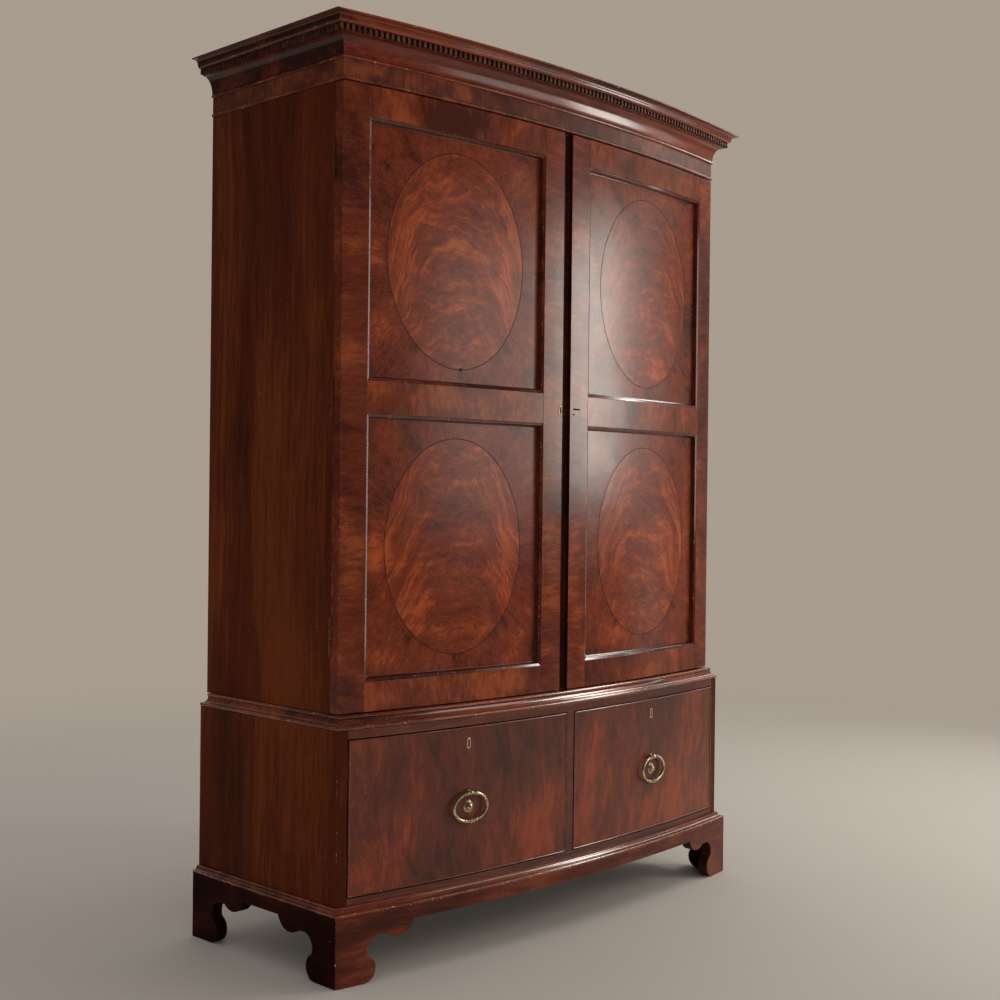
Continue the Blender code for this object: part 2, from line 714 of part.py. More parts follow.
def meeting_outline(sign, inner, meeting_edge):
    """Plan of a meeting stile. The right one has the slam strip that backs the gap between the doors."""
    if sign < 0:
        return bow_strip(-meeting_edge, -inner, 0.0, DOOR_THICKNESS)
    strip_edge = SLAM_STRIP_GAP - inner
    step = [(inner, bow_y(inner, -SLAM_STRIP_RECESS)), (strip_edge, bow_y(strip_edge, -SLAM_STRIP_RECESS))]
    front = bow_run(meeting_edge, inner, 0.0)
    return front + step + bow_run(strip_edge, meeting_edge, -DOOR_THICKNESS)


def build_base():
    """The base case with its divider and the waist moulding that the cupboard stands on."""
    half_width = HALF_WIDTH + BASE.side
    for side, sign in (("left", -1), ("right", 1)):
        outline = side_outline(sign, half_width, BASE_SIDE_THICKNESS, 0.0, BASE)
        board(f"base_side_{side}", outline, BASE_Z, BASE_TOP_Z, CASE_WOOD)
    reach = BASE_INNER_HALF_WIDTH - FIT_GAP
    inner_back = BACK_Y - BACK_THICKNESS - FIT_GAP
    shelf = bow_to_back(-reach, reach, 0.0, inner_back, BASE)
    board("base_bottom", shelf, BASE_Z, DRAWER_FLOOR_Z, CASE_WOOD)
    board("base_top", shelf, DRAWER_ROOF_Z, BASE_TOP_Z, CASE_WOOD)
    back = [(-reach, BACK_Y - BACK_THICKNESS), (reach, BACK_Y - BACK_THICKNESS), (reach, BACK_Y), (-reach, BACK_Y)]
    board("base_back", back, BASE_Z, BASE_TOP_Z, INSIDE_WOOD)
    half = DIVIDER_THICKNESS / 2
    divider = bow_to_back(-half, half, 0.0, inner_back, BASE)
    board("drawer_divider", divider, DRAWER_FLOOR_Z + FIT_GAP, DRAWER_ROOF_Z - FIT_GAP, CASE_WOOD)
    build_waist()


def build_waist():
    """A mitred frame on top of the base: a bead, a cove and a nosing round a flat ledge."""
    low_z = BASE_TOP_Z + FIT_GAP
    bead_x = -BASE.side + WAIST_BEAD / 2
    bead = arc((bead_x, WAIST_TOP_Z - WAIST_BEAD / 2), WAIST_BEAD / 2, -60, 90, 5)
    nose_z = low_z + WAIST_NOSE_HEIGHT / 2
    nose = arc((WAIST_NOSE_PROUD - WAIST_NOSE_HEIGHT / 2, nose_z), WAIST_NOSE_HEIGHT / 2, -90, 90, 6)
    cove_low = (nose[-1][0], nose[-1][1])
    cove_high = bead[0]
    cove_size = (cove_low[0] - cove_high[0], cove_high[1] - cove_low[1])
    cove = arc((cove_low[0], cove_high[1]), cove_size, 270, 180, 5)
    inner = -BASE.side - WAIST_LEDGE
    profile = nose + cove[1:-1] + bead + [(inner, WAIST_TOP_Z), (inner, low_z)]
    run_moulding("waist_moulding", profile, plan_stations(BASE, closed=True), MOULDED_WOOD, closed=True)


def foot_edge(steps=7):
    """Inner edge of a foot, from the floor up to the apron: (distance from the corner, height)."""
    knob = arc((TOE_WIDTH, KNOB_RADIUS), KNOB_RADIUS, -90, 55, steps)
    neck_centre = (TOE_WIDTH + NECK_SHIFT, 2 * KNOB_RADIUS + NECK_LIFT)
    neck = arc(neck_centre, NECK_RADIUS, 200, 90, steps)
    lobe_centre = (neck_centre[0] + LOBE_SHIFT, neck_centre[1] + NECK_RADIUS + LOBE_LIFT)
    lobe = arc(lobe_centre, LOBE_RADIUS, -133, -18, steps)
    return knob + neck + lobe


def apron_outline(start, end):
    """Outline of the opening under a plinth board between its two feet, from start to end along the board."""
    edge = foot_edge()
    below = -PLINTH_THICKNESS
    first = [(start + TOE_WIDTH, below)] + [(start + along, z) for along, z in edge]
    last = [(end - along, z) for along, z in edge[::-1]] + [(end - TOE_WIDTH, below)]
    return first + last


def build_plinth():
    """Three plinth boards, mitred at the corners, with the feet and aprons cut in them."""
    inner = -PLINTH_THICKNESS
    seat = PLINTH_HEIGHT
    case_face = BASE.side - PLINTH.side
    front_face = BASE.front - PLINTH.front
    cutters = apron_cutters()
    for side, cutter in cutters.items():
        lip = (front_face if side == "front" else case_face) + 2 * FIT_GAP
        lip_top = seat + PLINTH_LIP_HEIGHT
        ogee = arc((0.0, lip_top), (-lip - PLINTH_LIP_LEDGE, PLINTH_LIP_HEIGHT), 180, 270, 5)
        profile = [(0.0, 0.0)] + ogee[::-1] + [(lip, lip_top), (lip, seat), (inner, seat), (inner, 0.0)]
        stations = plan_stations(
            PLINTH, front=side == "front", left=side == "left", right=side == "right", trim=FIT_GAP
        )
        piece = run_moulding(f"plinth_{side}", profile, stations, CASE_WOOD)
        combine(piece, cutter, "DIFFERENCE")


def apron_cutters():
    """The openings under the three plinth boards."""
    half_width = HALF_WIDTH + PLINTH.side
    corner_y = bow_y(half_width, 0.0, PLINTH)
    depth = CASE_DEPTH
    front = add_cutter("front_apron", outline_mesh("front_apron", apron_outline(-half_width, half_width), depth))
    front.rotation_euler = (math.pi / 2, 0.0, 0.0)
    front.location = (0.0, corner_y, 0.0)
    cutters = {"front": front}
    for side, sign in (("left", -1), ("right", 1)):
        outline = apron_outline(corner_y, BACK_Y)
        cutter = add_cutter(f"{side}_apron", outline_mesh(f"{side}_apron", outline, 4 * PLINTH_THICKNESS))
        cutter.rotation_euler = (math.pi / 2, 0.0, math.pi / 2)
        cutter.location = (sign * half_width, 0.0, 0.0)
        cutters[side] = cutter
    return cutters


def build_drawer(side, sign, axis):
    """One drawer: bowed front, two sides, back and bottom."""
    inner = DIVIDER_THICKNESS / 2 + DRAWER_GAP
    outer = BASE_INNER_HALF_WIDTH - DRAWER_GAP
    low_z = DRAWER_FLOOR_Z + DRAWER_GAP
    high_z = DRAWER_ROOF_Z - DRAWER_GAP

    def across(near, far):
        return sorted((sign * near, sign * far))

    front = bow_strip(*across(inner, outer), 0.0, DRAWER_FRONT, BASE)
    board(f"{side}_drawer_front", front, low_z, high_z, FIGURED_WOOD, axis)

    run_z = DRAWER_FLOOR_Z + FIT_GAP
    side_top = high_z - DRAWER_SIDE_DROP
    back_y = BACK_Y - BACK_THICKNESS - DRAWER_BACK_GAP
    front_back = -DRAWER_FRONT - FIT_GAP
    box_inner = inner + DRAWER_SIDE_INSET
    box_outer = outer - DRAWER_SIDE_INSET
    for name, near, far in (
        ("inner_side", box_inner, box_inner + DRAWER_SIDE),
        ("outer_side", box_outer - DRAWER_SIDE, box_outer),
    ):
        outline = bow_to_back(*across(near, far), front_back, back_y, BASE)
        board(f"{side}_drawer_{name}", outline, run_z, side_top, INSIDE_WOOD, axis)

    low_x, high_x = across(box_inner + DRAWER_SIDE + FIT_GAP, box_outer - DRAWER_SIDE - FIT_GAP)
    bottom_z = run_z + DRAWER_BOTTOM_LIFT
    bottom = bow_to_back(low_x, high_x, front_back, back_y, BASE)
    board(f"{side}_drawer_bottom", bottom, bottom_z, bottom_z + DRAWER_BOTTOM, INSIDE_WOOD, axis)
    back_front = back_y - DRAWER_SIDE
    back = [(low_x, back_front), (high_x, back_front), (high_x, back_y), (low_x, back_y)]
    back_z = bottom_z + DRAWER_BOTTOM + FIT_GAP
    board(f"{side}_drawer_back", back, back_z, side_top, INSIDE_WOOD, axis)
    return sign * (inner + outer) / 2, high_z


def pull_frame(x):
    """Plan place of a pull's ring on a drawer front, and the turn that faces it outwards."""
    slope = math.asin(x / (BOW_RADIUS + BASE.front))
    radius = BOW_RADIUS + BASE.front + RING_STANDOFF
    return (radius * math.sin(slope), BOW_CENTRE_Y - radius * math.cos(slope)), slope


def build_pull(side, x, drawer_top, drawer_axis):
    """A ring that hangs from a ball eye on a post."""
    (ring_x, ring_y), slope = pull_frame(x)
    ring_top = drawer_top - RING_BELOW_TOP - RING_WIRE
    axis = add_axis(f"{side}_pull_axis", (ring_x, ring_y, ring_top))
    axis.rotation_euler = (0.0, 0.0, slope)
    hang_on(axis, drawer_axis, axis.location.copy())

    across = RING_WIDTH / 2 - RING_WIRE
    down = RING_HEIGHT / 2 - RING_WIRE
    curve = bpy.data.curves.new(f"{side}_pull_ring", "CURVE")
    curve.dimensions = "3D"
    curve.bevel_depth = RING_WIRE
    curve.bevel_resolution = 1
    spline = curve.splines.new("POLY")
    spline.points.add(RING_POINTS - 1)
    for index, point in enumerate(spline.points):
        angle = 2 * math.pi * index / RING_POINTS
        point.co = (across * math.sin(angle), 0.0, down * (math.cos(angle) - 1), 1.0)
        point.radius = RING_NECK / RING_WIRE if index in (RING_POINTS - 1, 0, 1) else 1.0
    spline.use_cyclic_u = True
    ring = add_piece(f"{side}_pull_ring", curve, BRASS)
    ring.parent = axis

    post = add_piece(f"{side}_pull_post", post_mesh(f"{side}_pull_post"), BRASS)
    post.rotation_euler = (0.0, 0.0, slope)
    hang_on(post, drawer_axis, (ring_x, ring_y, ring_top))


def post_mesh(name):
    """A ball with a hole for the ring, on a stem with a round foot. The stem runs back along +Y."""
    ball = bmesh.new()
    bmesh.ops.create_uvsphere(ball, u_segments=ROUND_STEPS, v_segments=ROUND_STEPS // 2, radius=EYE_RADIUS)
    eye = add_cutter(f"{name}_ball", mesh_from(name, ball))
    foot_end = RING_STANDOFF - FIT_GAP
    hole = RING_NECK + EYE_CLEARANCE
    stem = add_cutter(f"{name}_stem", rod_mesh(f"{name}_stem", POST_RADIUS, hole, foot_end))
    foot_start = foot_end - POST_FOOT_THICKNESS
    foot = add_cutter(f"{name}_foot", rod_mesh(f"{name}_foot", POST_FOOT_RADIUS, foot_start, foot_end))
    bore = add_cutter(f"{name}_bore", rod_mesh(f"{name}_bore", hole, -2 * EYE_RADIUS, 2 * EYE_RADIUS))
    for part in (stem, foot):
        part.rotation_euler = (-math.pi / 2, 0.0, 0.0)
        combine(eye, part, "UNION")
    bore.rotation_euler = (0.0, math.pi / 2, 0.0)
    combine(eye, bore, "DIFFERENCE")
    bpy.context.view_layer.update()
    return bpy.data.meshes.new_from_object(eye.evaluated_get(bpy.context.evaluated_depsgraph_get()))


def build_doors():
    """Both doors, each under an empty on its hinge axis, and the hinges that carry them."""
    door_axes = {}
    for side, sign in (("left", -1), ("right", 1)):
        axis = add_axis(f"{side}_door_axis", (*hinge_axis_xy(sign), DOOR_Z))
        door_axes[sign] = axis
        build_door(side, sign, axis)
    build_hinges(door_axes)


def build_drawers():
    """Both drawers, each under an empty that slides along -Y."""
    for side, sign in (("left", -1), ("right", 1)):
        axis = add_axis(f"{side}_drawer_slide", (0.0, 0.0, DRAWER_FLOOR_Z))
        x, top = build_drawer(side, sign, axis)
        build_pull(side, x, top, axis)


clear_scene()
PIECES = collection_named("wardrobe")
CUTTERS = collection_named("wardrobe_cutters")
CUTTERS.hide_render = True
build_plinth()
build_base()
build_cupboard()
build_doors()
build_drawers()
build_cornice()
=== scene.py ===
"""Looks of the bow-front wardrobe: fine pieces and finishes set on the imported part, with a plain studio."""

import logging
import math
from collections.abc import Callable, Mapping, Sequence
from dataclasses import dataclass
from enum import Enum
from functools import cache

import bmesh
import bpy
from mathutils import Matrix, Vector


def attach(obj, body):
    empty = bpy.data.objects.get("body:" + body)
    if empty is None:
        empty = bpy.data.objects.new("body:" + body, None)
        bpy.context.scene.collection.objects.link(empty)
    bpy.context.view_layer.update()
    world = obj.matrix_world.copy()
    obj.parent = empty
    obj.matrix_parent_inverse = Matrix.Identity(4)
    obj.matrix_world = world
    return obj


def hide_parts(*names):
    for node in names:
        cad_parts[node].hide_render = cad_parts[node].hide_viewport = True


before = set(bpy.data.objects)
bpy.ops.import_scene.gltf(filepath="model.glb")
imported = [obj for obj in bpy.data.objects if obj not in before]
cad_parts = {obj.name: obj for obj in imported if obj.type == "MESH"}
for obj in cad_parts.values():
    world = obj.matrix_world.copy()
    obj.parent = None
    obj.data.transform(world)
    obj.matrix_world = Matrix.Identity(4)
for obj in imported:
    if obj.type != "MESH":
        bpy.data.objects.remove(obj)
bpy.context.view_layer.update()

LOG = logging.getLogger("wardrobe")

Pair = tuple[float, float]
Triple = tuple[float, float, float]
Four = tuple[float, float, float, float]
Colour = Triple
Cloud = tuple[float, float, float, float, float]
Span = tuple[str, float, float]
Plan = list[Pair]
Mesh = bpy.types.Mesh
Node = bpy.types.Node
Shape = bmesh.types.BMesh
Socket = bpy.types.NodeSocket
Tree = bpy.types.NodeTree

FIT_GAP = 0.0003
MERGE = 1e-6
SHARP_ANGLE = math.radians(28.0)
FLAT_ANGLE = math.radians(18.0)
ARRIS_ANGLE = math.radians(40.0)
EASE = 0.0006
# Curvature per metre at which a bulge is fully rubbed and a hollow is fully darkened with painted shade.
RUB_AND_SHADE_CURVE = 400.0
# How dark painted shade makes the upper cove under the dentils.
COVE_SHADE = 0.35
# How dark painted shade makes faces in gaps, inside the base and under the plinth.
HIDDEN_SHADE = 0.9
# The near-black colour that painted shade darkens towards.
PAINTED_SHADE_COLOUR = (0.009, 0.0028, 0.0018, 1.0)
RUBBED_WOOD = (0.30, 0.10, 0.045, 1.0)
PALE_NICK = (0.62, 0.50, 0.42, 1.0)
BOW_STEPS = 96


class Side(Enum):
    """The two hands of the wardrobe, as seen from the front."""

    LEFT = -1
    RIGHT = 1

    @property
    def word(self) -> str:
        """The hand as a word in lower case."""
        return self.name.lower()

    def across(self, near: float, far: float) -> Pair:
        """Two distances from the middle as x values, the lower first."""
        low, high = sorted((self.value * near, self.value * far))
        return low, high


class Slot(Enum):
    """The material slots of the part's record."""

    CASE = "case_wood"
    FIGURED = "figured_wood"
    MOULDED = "moulded_wood"
    INSIDE = "inside_wood"
    BRASS = "brass"


class Stage(Enum):
    """How far each stage of the case stands out at its sides and along its front."""

    CUPBOARD = (0.0, 0.0)
    BASE = (0.018, 0.026)
    PLINTH = (0.0355, 0.050)

    @property
    def side(self) -> float:
        """How far its sides stand out."""
        return self.value[0]

    @property
    def front(self) -> float:
        """How far its front stands out."""
        return self.value[1]


@dataclass(frozen=True)
class Bow:
    """The upright arc that every bowed face is an offset of."""

    half_width: float = 0.678
    rise: float = 0.0573
    depth: float = 0.549
    back: float = 0.305
    step: float = 0.014

    @property
    def radius(self) -> float:
        """Radius of the cupboard's front in plan."""
        return (self.half_width**2 + self.rise**2) / (2 * self.rise)

    @property
    def centre(self) -> float:
        """The y of the arc's centre, far behind the case."""
        return self.back - self.depth + self.radius

    def y(self, x: float, offset: float, stage: Stage = Stage.CUPBOARD) -> float:
        """The y at x of a face set out from a stage's front by an offset."""
        radius = self.radius + stage.front + offset
        return self.centre - math.sqrt(radius**2 - x**2)

    def slope(self, x: float, stage: Stage = Stage.CUPBOARD) -> float:
        """How far the face at x is turned away from square, in radians."""
        return math.asin(x / (self.radius + stage.front))

    def run(self, start: float, end: float, offset: float, stage: Stage = Stage.CUPBOARD) -> Plan:
        """Plan points along the bow.

        Args:
            start: The x to start from.
            end: The x to end at.
            offset: How far the face stands out from the stage's front.
            stage: The stage of the case.

        Returns:
            Points close enough together to look round.
        """
        steps = max(2, round(abs(end - start) / self.step))
        places = [start + (end - start) * i / steps for i in range(steps + 1)]
        return [(x, self.y(x, offset, stage)) for x in places]

    def strip(
        self, start: float, end: float, front: float, back: float, stage: Stage = Stage.CUPBOARD
    ) -> Plan:
        """Plan outline between two offsets of the bow, the front one first."""
        return self.run(start, end, front, stage) + self.run(end, start, back, stage)

    def to_back(self, start: float, end: float, front: float, back_y: float, stage: Stage) -> Plan:
        """Plan outline with a bowed front and a straight back."""
        return self.run(start, end, front, stage) + [(end, back_y), (start, back_y)]


BOW = Bow()


def arc(centre: Pair, size: Pair, start: float, end: float, steps: int) -> Plan:
    """Points on an elliptic arc.

    Args:
        centre: Its centre.
        size: Its half-width and half-height.
        start: First angle in degrees.
        end: Last angle in degrees.
        steps: How many straight steps it has.

    Returns:
        The points, both ends among them.
    """
    angles = [math.radians(start + (end - start) * i / steps) for i in range(steps + 1)]
    return [(centre[0] + size[0] * math.cos(a), centre[1] + size[1] * math.sin(a)) for a in angles]


class Sheet:
    """A node tree with short ways to add and wire nodes."""

    def __init__(self, tree: Tree) -> None:
        """Keeps the tree that is filled."""
        self.tree = tree

    def feed(self, socket: Socket, value: object) -> None:
        """Links a socket to an input, or writes a value there.

        Args:
            socket: The input.
            value: A socket to link, or a value.
        """
        if isinstance(value, Socket):
            self.tree.links.new(value, socket)
        else:
            socket.default_value = value

    def fill(self, node: Node, inputs: Mapping[object, object]) -> None:
        """Feeds a node's inputs, by name or number."""
        for key, value in inputs.items():
            self.feed(node.inputs[key], value)

    def add(self, kind: str, inputs: Mapping[object, object] | None = None, **settings: object) -> Node:
        """Adds a node.

        Args:
            kind: The node's type.
            inputs: What goes into its sockets, by name or number.
            **settings: Its other settings.

        Returns:
            The new node.
        """
        node = self.tree.nodes.new(kind)
        for name, value in settings.items():
            setattr(node, name, value)
        self.fill(node, inputs or {})
        return node

    def out(self, kind: str, inputs: Mapping[object, object] | None = None, **settings: object) -> Socket:
        """The first output of a new node."""
        return self.add(kind, inputs, **settings).outputs[0]

    def math(self, operation: str, *values: object, clamp: bool = False) -> Socket:
        """A Math node's output."""
        return self.out("ShaderNodeMath", dict(enumerate(values)), operation=operation, use_clamp=clamp)

    def times(self, first: object, second: object, clamp: bool = False) -> Socket:
        """Two values multiplied."""
        return self.math("MULTIPLY", first, second, clamp=clamp)

    def plus(self, first: object, second: object, clamp: bool = False) -> Socket:
        """Two values added."""
        return self.math("ADD", first, second, clamp=clamp)

    def minus(self, first: object, second: object) -> Socket:
        """The first value less the second."""
        return self.math("SUBTRACT", first, second)

    def between(self, share: object, first: object, second: object) -> Socket:
        """A value some share of the way from one to another."""
        return self.out("ShaderNodeMix", {0: share, 2: first, 3: second}, data_type="FLOAT")

    def range(self, value: object, low: object, high: object, to: Pair = (0.0, 1.0)) -> Socket:
        """A value eased from one range to another."""
        inputs = {"Value": value, "From Min": low, "From Max": high, "To Min": to[0], "To Max": to[1]}
        return self.out("ShaderNodeMapRange", inputs, interpolation_type="SMOOTHSTEP")

    def vector(self, operation: str, *values: object) -> Socket:
        """A Vector Math node's output."""
        node = self.add("ShaderNodeVectorMath", dict(enumerate(values)), operation=operation)
        return node.outputs["Value" if operation in ("LENGTH", "DOT_PRODUCT") else "Vector"]

    def split(self, vector: Socket) -> tuple[Socket, Socket, Socket]:
        """The three parts of a vector."""
        node = self.add("ShaderNodeSeparateXYZ", {0: vector})
        return node.outputs[0], node.outputs[1], node.outputs[2]

    def join(self, x: object, y: object, z: object) -> Socket:
        """A vector of three parts."""
        return self.out("ShaderNodeCombineXYZ", {0: x, 1: y, 2: z})

    def stretch(self, vector: object, across: object, along: object) -> Socket:
        """A vector scaled across the grain and along it, where the grain runs along Z."""
        return self.vector("MULTIPLY", vector, self.join(across, across, along))

    def coords(self, kind: str) -> Socket:
        """Texture coordinates of one kind."""
        return self.add("ShaderNodeTexCoord").outputs[kind]

    def blend(self, share: object, first: object, second: object) -> Socket:
        """Two colours mixed by a share."""
        return self.add("ShaderNodeMix", {0: share, 6: first, 7: second}, data_type="RGBA").outputs[2]

    def clouds(self, vector: object, scale: float, detail: float, rough: float, warp: float) -> Node:
        """A noise texture node."""
        inputs = {"Vector": vector, "Scale": scale, "Detail": detail, "Roughness": rough, "Distortion": warp}
        return self.add("ShaderNodeTexNoise", inputs)

    def noise(
        self, vector: object, scale: float, detail: float = 3.0, rough: float = 0.5, warp: float = 0.0
    ) -> Socket:
        """A noise texture's value."""
        return self.clouds(vector, scale, detail, rough, warp).outputs[0]

    def drift(self, vector: object, scale: float, detail: float, rough: float = 0.5) -> Socket:
        """A noise texture's colour, as a drift both ways along each axis."""
        colour = self.clouds(vector, scale, detail, rough, 0.0).outputs["Color"]
        return self.vector("SUBTRACT", colour, (0.5, 0.5, 0.5))

    def bump(self, strength: float, distance: float, height: Socket) -> Socket:
        """A normal bent by a height."""
        return self.out("ShaderNodeBump", {"Strength": strength, "Distance": distance, "Height": height})


class Kind(Enum):
    """The socket types that the trees use."""

    NUMBER = "NodeSocketFloat"
    COUNT = "NodeSocketInt"
    VECTOR = "NodeSocketVector"
    COLOUR = "NodeSocketColor"
    SHAPE = "NodeSocketGeometry"
    FINISH = "NodeSocketMaterial"


def new_group(
    name: str, kind: str, inputs: Mapping[str, Kind], outputs: Mapping[str, Kind]
) -> tuple[Sheet, Mapping[str, Socket], Node]:
    """Starts a node group with named sockets.

    Args:
        name: The group's name.
        kind: ShaderNodeTree or GeometryNodeTree.
        inputs: Its inputs by name.
        outputs: Its outputs by name.

    Returns:
        The sheet, what comes in by name, and the output node.
    """
    tree = bpy.data.node_groups.new(name, kind)
    for way, sockets in (("INPUT", inputs), ("OUTPUT", outputs)):
        for label, socket in sockets.items():
            tree.interface.new_socket(label, in_out=way, socket_type=socket.value)
    sheet = Sheet(tree)
    return sheet, sheet.add("NodeGroupInput").outputs, sheet.add("NodeGroupOutput")


class Effects:
    """The shader node groups that several finishes share, each made once."""

    @staticmethod
    @cache
    def figure() -> Tree:
        """Wood figure with the grain along Z: broad patches, streaks, fibres and pores.

        Returns:
            The shared group.
        """
        numbers = ("Patch", "Patch Length", "Streak", "Streak Length", "Wander", "Mix", "Spread")
        inputs = {"Vector": Kind.VECTOR} | {key: Kind.NUMBER for key in numbers}
        outputs = {"Tone": Kind.NUMBER, "Pore": Kind.NUMBER}
        sheet, get, end = new_group("wood_figure", "ShaderNodeTree", inputs, outputs)
        wander = sheet.join(get["Wander"], get["Wander"], 0.02)
        drift = sheet.vector("MULTIPLY", sheet.drift(get["Vector"], 3.1, 2.0), wander)
        place = sheet.vector("ADD", get["Vector"], drift)
        patch, streak = (
            sheet.stretch(place, get[key], sheet.math("DIVIDE", get[key], get[f"{key} Length"]))
            for key in ("Patch", "Streak")
        )
        broad = sheet.noise(patch, 1.0, 5.0, 0.6, 0.4)
        lines = sheet.noise(streak, 1.0, 5.0, 0.72, 0.2)
        fibre = sheet.noise(sheet.stretch(place, 620.0, 16.0), 1.0, 2.0)
        fine = sheet.plus(sheet.times(lines, 0.7), sheet.times(fibre, 0.3))
        tone = sheet.between(get["Mix"], broad, fine)
        pores = sheet.noise(sheet.stretch(place, 1500.0, 45.0), 1.0, 1.0)
        low, high = sheet.minus(0.5, get["Spread"]), sheet.plus(0.5, get["Spread"])
        sheet.fill(end, {"Tone": sheet.range(tone, low, high), "Pore": sheet.range(pores, 0.60, 0.72)})
        return sheet.tree

    @staticmethod
    @cache
    def glow() -> Tree:
        """A soft cloud with ragged edges that lightens or darkens the tone: the wood's own patches, and in
        places painted sheen and painted shade.

        Returns:
            The shared group.
        """
        inputs = {"Vector": Kind.VECTOR, "Middle": Kind.VECTOR, "Size": Kind.VECTOR, "Strength": Kind.NUMBER}
        sheet, get, end = new_group("wood_glow", "ShaderNodeTree", inputs, {"Tone": Kind.NUMBER})
        ragged = sheet.vector("MULTIPLY", sheet.drift(get["Vector"], 16.0, 4.0, 0.6), (0.10, 0.0, 0.10))
        off = sheet.vector("SUBTRACT", sheet.vector("ADD", get["Vector"], ragged), get["Middle"])
        far = sheet.vector("LENGTH", sheet.vector("DIVIDE", off, get["Size"]))
        sheet.fill(end, {"Tone": sheet.times(sheet.range(far, 1.0, 0.15), get["Strength"])})
        return sheet.tree

    @staticmethod
    @cache
    def stain() -> Tree:
        """Colour of stained wood from its tone: dark, middle and light, with dark pores.

        Returns:
            The shared group.
        """
        inputs = {"Tone": Kind.NUMBER, "Pore": Kind.NUMBER}
        inputs |= {key: Kind.COLOUR for key in ("Dark", "Middle", "Light")}
        sheet, get, end = new_group("wood_stain", "ShaderNodeTree", inputs, {"Color": Kind.COLOUR})
        low = sheet.blend(sheet.range(get["Tone"], 0.0, 0.5), get["Dark"], get["Middle"])
        both = sheet.blend(sheet.range(get["Tone"], 0.45, 1.0), low, get["Light"])
        sheet.fill(end, {"Color": sheet.blend(sheet.times(get["Pore"], 0.70), both, get["Dark"])})
        return sheet.tree

    @staticmethod
    @cache
    def wear_and_shade() -> Tree:
        """Wear of an old polished piece: rubbed arrises and scattered pale nicks, with painted shade where
        the value is below zero.

        Returns:
            The shared group.
        """
        inputs = {"Color": Kind.COLOUR, "Vector": Kind.VECTOR, "Rub": Kind.NUMBER, "Nicks": Kind.NUMBER}
        outputs = {"Color": Kind.COLOUR, "Worn": Kind.NUMBER, "Clean": Kind.NUMBER}
        sheet, get, end = new_group("wear_and_shade", "ShaderNodeTree", inputs, outputs)
        # Painted shade: a value below zero darkens the colour towards near-black, in hollows, gaps and hidden
        # faces.
        painted_shade = sheet.times(sheet.times(get["Rub"], -1.0, clamp=True), 0.85)
        shaded_colour = sheet.blend(painted_shade, get["Color"], PAINTED_SHADE_COLOUR)
        touched = sheet.math("MAXIMUM", get["Rub"], 0.0)
        worn = sheet.times(touched, sheet.range(sheet.noise(get["Vector"], 17.0, 5.0, 0.65), 0.46, 0.74))
        rubbed = sheet.blend(sheet.times(worn, 0.7), shaded_colour, RUBBED_WOOD)
        cells = sheet.add("ShaderNodeTexVoronoi", {"Vector": get["Vector"], "Scale": 34.0, "Randomness": 1.0})
        chance = sheet.split(cells.outputs["Color"])[0]
        rare = sheet.math("GREATER_THAN", sheet.plus(get["Nicks"], chance), 1.0)
        dot = sheet.times(rare, sheet.range(cells.outputs["Distance"], 0.045, 0.02))
        chip = sheet.times(touched, sheet.range(sheet.noise(get["Vector"], 120.0, 3.0), 0.64, 0.70))
        nick = sheet.math("MAXIMUM", dot, chip)
        pale = sheet.blend(sheet.times(nick, 0.7), rubbed, PALE_NICK)
        worn = sheet.math("MAXIMUM", worn, nick)
        sheet.fill(end, {"Color": pale, "Worn": worn, "Clean": sheet.minus(1.0, painted_shade)})
        return sheet.tree

    @staticmethod
    @cache
    def polish() -> Tree:
        """Gloss of an old hand polish: cloudy, with ripples, fine scratches and duller worn places.

        Returns:
            The shared group.
        """
        inputs = {"Vector": Kind.VECTOR, "Gloss": Kind.NUMBER, "Worn": Kind.NUMBER, "Pore": Kind.NUMBER}
        outputs = {"Roughness": Kind.NUMBER, "Height": Kind.NUMBER}
        sheet, get, end = new_group("hand_polish", "ShaderNodeTree", inputs, outputs)
        cloud = sheet.range(sheet.noise(get["Vector"], 9.0, 3.0, 0.6), 0.3, 0.7, (-0.02, 0.02))
        smear = sheet.noise(sheet.stretch(get["Vector"], 26.0, 190.0), 1.0, 3.0)
        base = sheet.plus(sheet.plus(get["Gloss"], cloud), sheet.range(smear, 0.4, 0.8, (0.0, 0.03)))
        rough = sheet.plus(base, sheet.times(get["Worn"], 0.14), clamp=True)
        ripple = sheet.noise(get["Vector"], 14.0, 2.0, 0.5)
        body = sheet.plus(ripple, sheet.times(sheet.noise(get["Vector"], 160.0, 3.0, 0.6), 0.020))
        height = sheet.minus(body, sheet.times(sheet.plus(get["Worn"], get["Pore"]), 0.012))
        sheet.fill(end, {"Roughness": rough, "Height": height})
        return sheet.tree


class Grain(Enum):
    """Which way the grain runs, as the turn that brings it onto Z."""

    UPRIGHT = (0.0, 0.0, 0.0)
    ACROSS = (0.0, math.pi / 2, 0.0)
    DEEP = (math.pi / 2, 0.0, 0.0)


@dataclass(frozen=True)
class Finish:
    """What every finish has: a name, a slot and a material that is made once."""

    name: str
    slot: Slot

    def material(self) -> bpy.types.Material:
        """Makes the material on first use.

        Returns:
            The material.
        """
        found = bpy.data.materials.get(self.name)
        if found:
            return found
        made = bpy.data.materials.new(self.name)
        made.use_nodes = True
        sheet = Sheet(made.node_tree)
        self.paint(sheet, made.node_tree.nodes["Principled BSDF"])
        return made

    def paint(self, sheet: Sheet, shader: Node) -> None:
        """Wires the finish into its shader."""
        raise NotImplementedError

    @staticmethod
    def group(sheet: Sheet, tree: Tree, inputs: Mapping[object, object]) -> Node:
        """Places a shared group with its own values."""
        return sheet.add("ShaderNodeGroup", inputs, node_tree=tree)


def opaque(colour: Colour) -> Four:
    """A colour with full alpha."""
    return (*colour, 1.0)


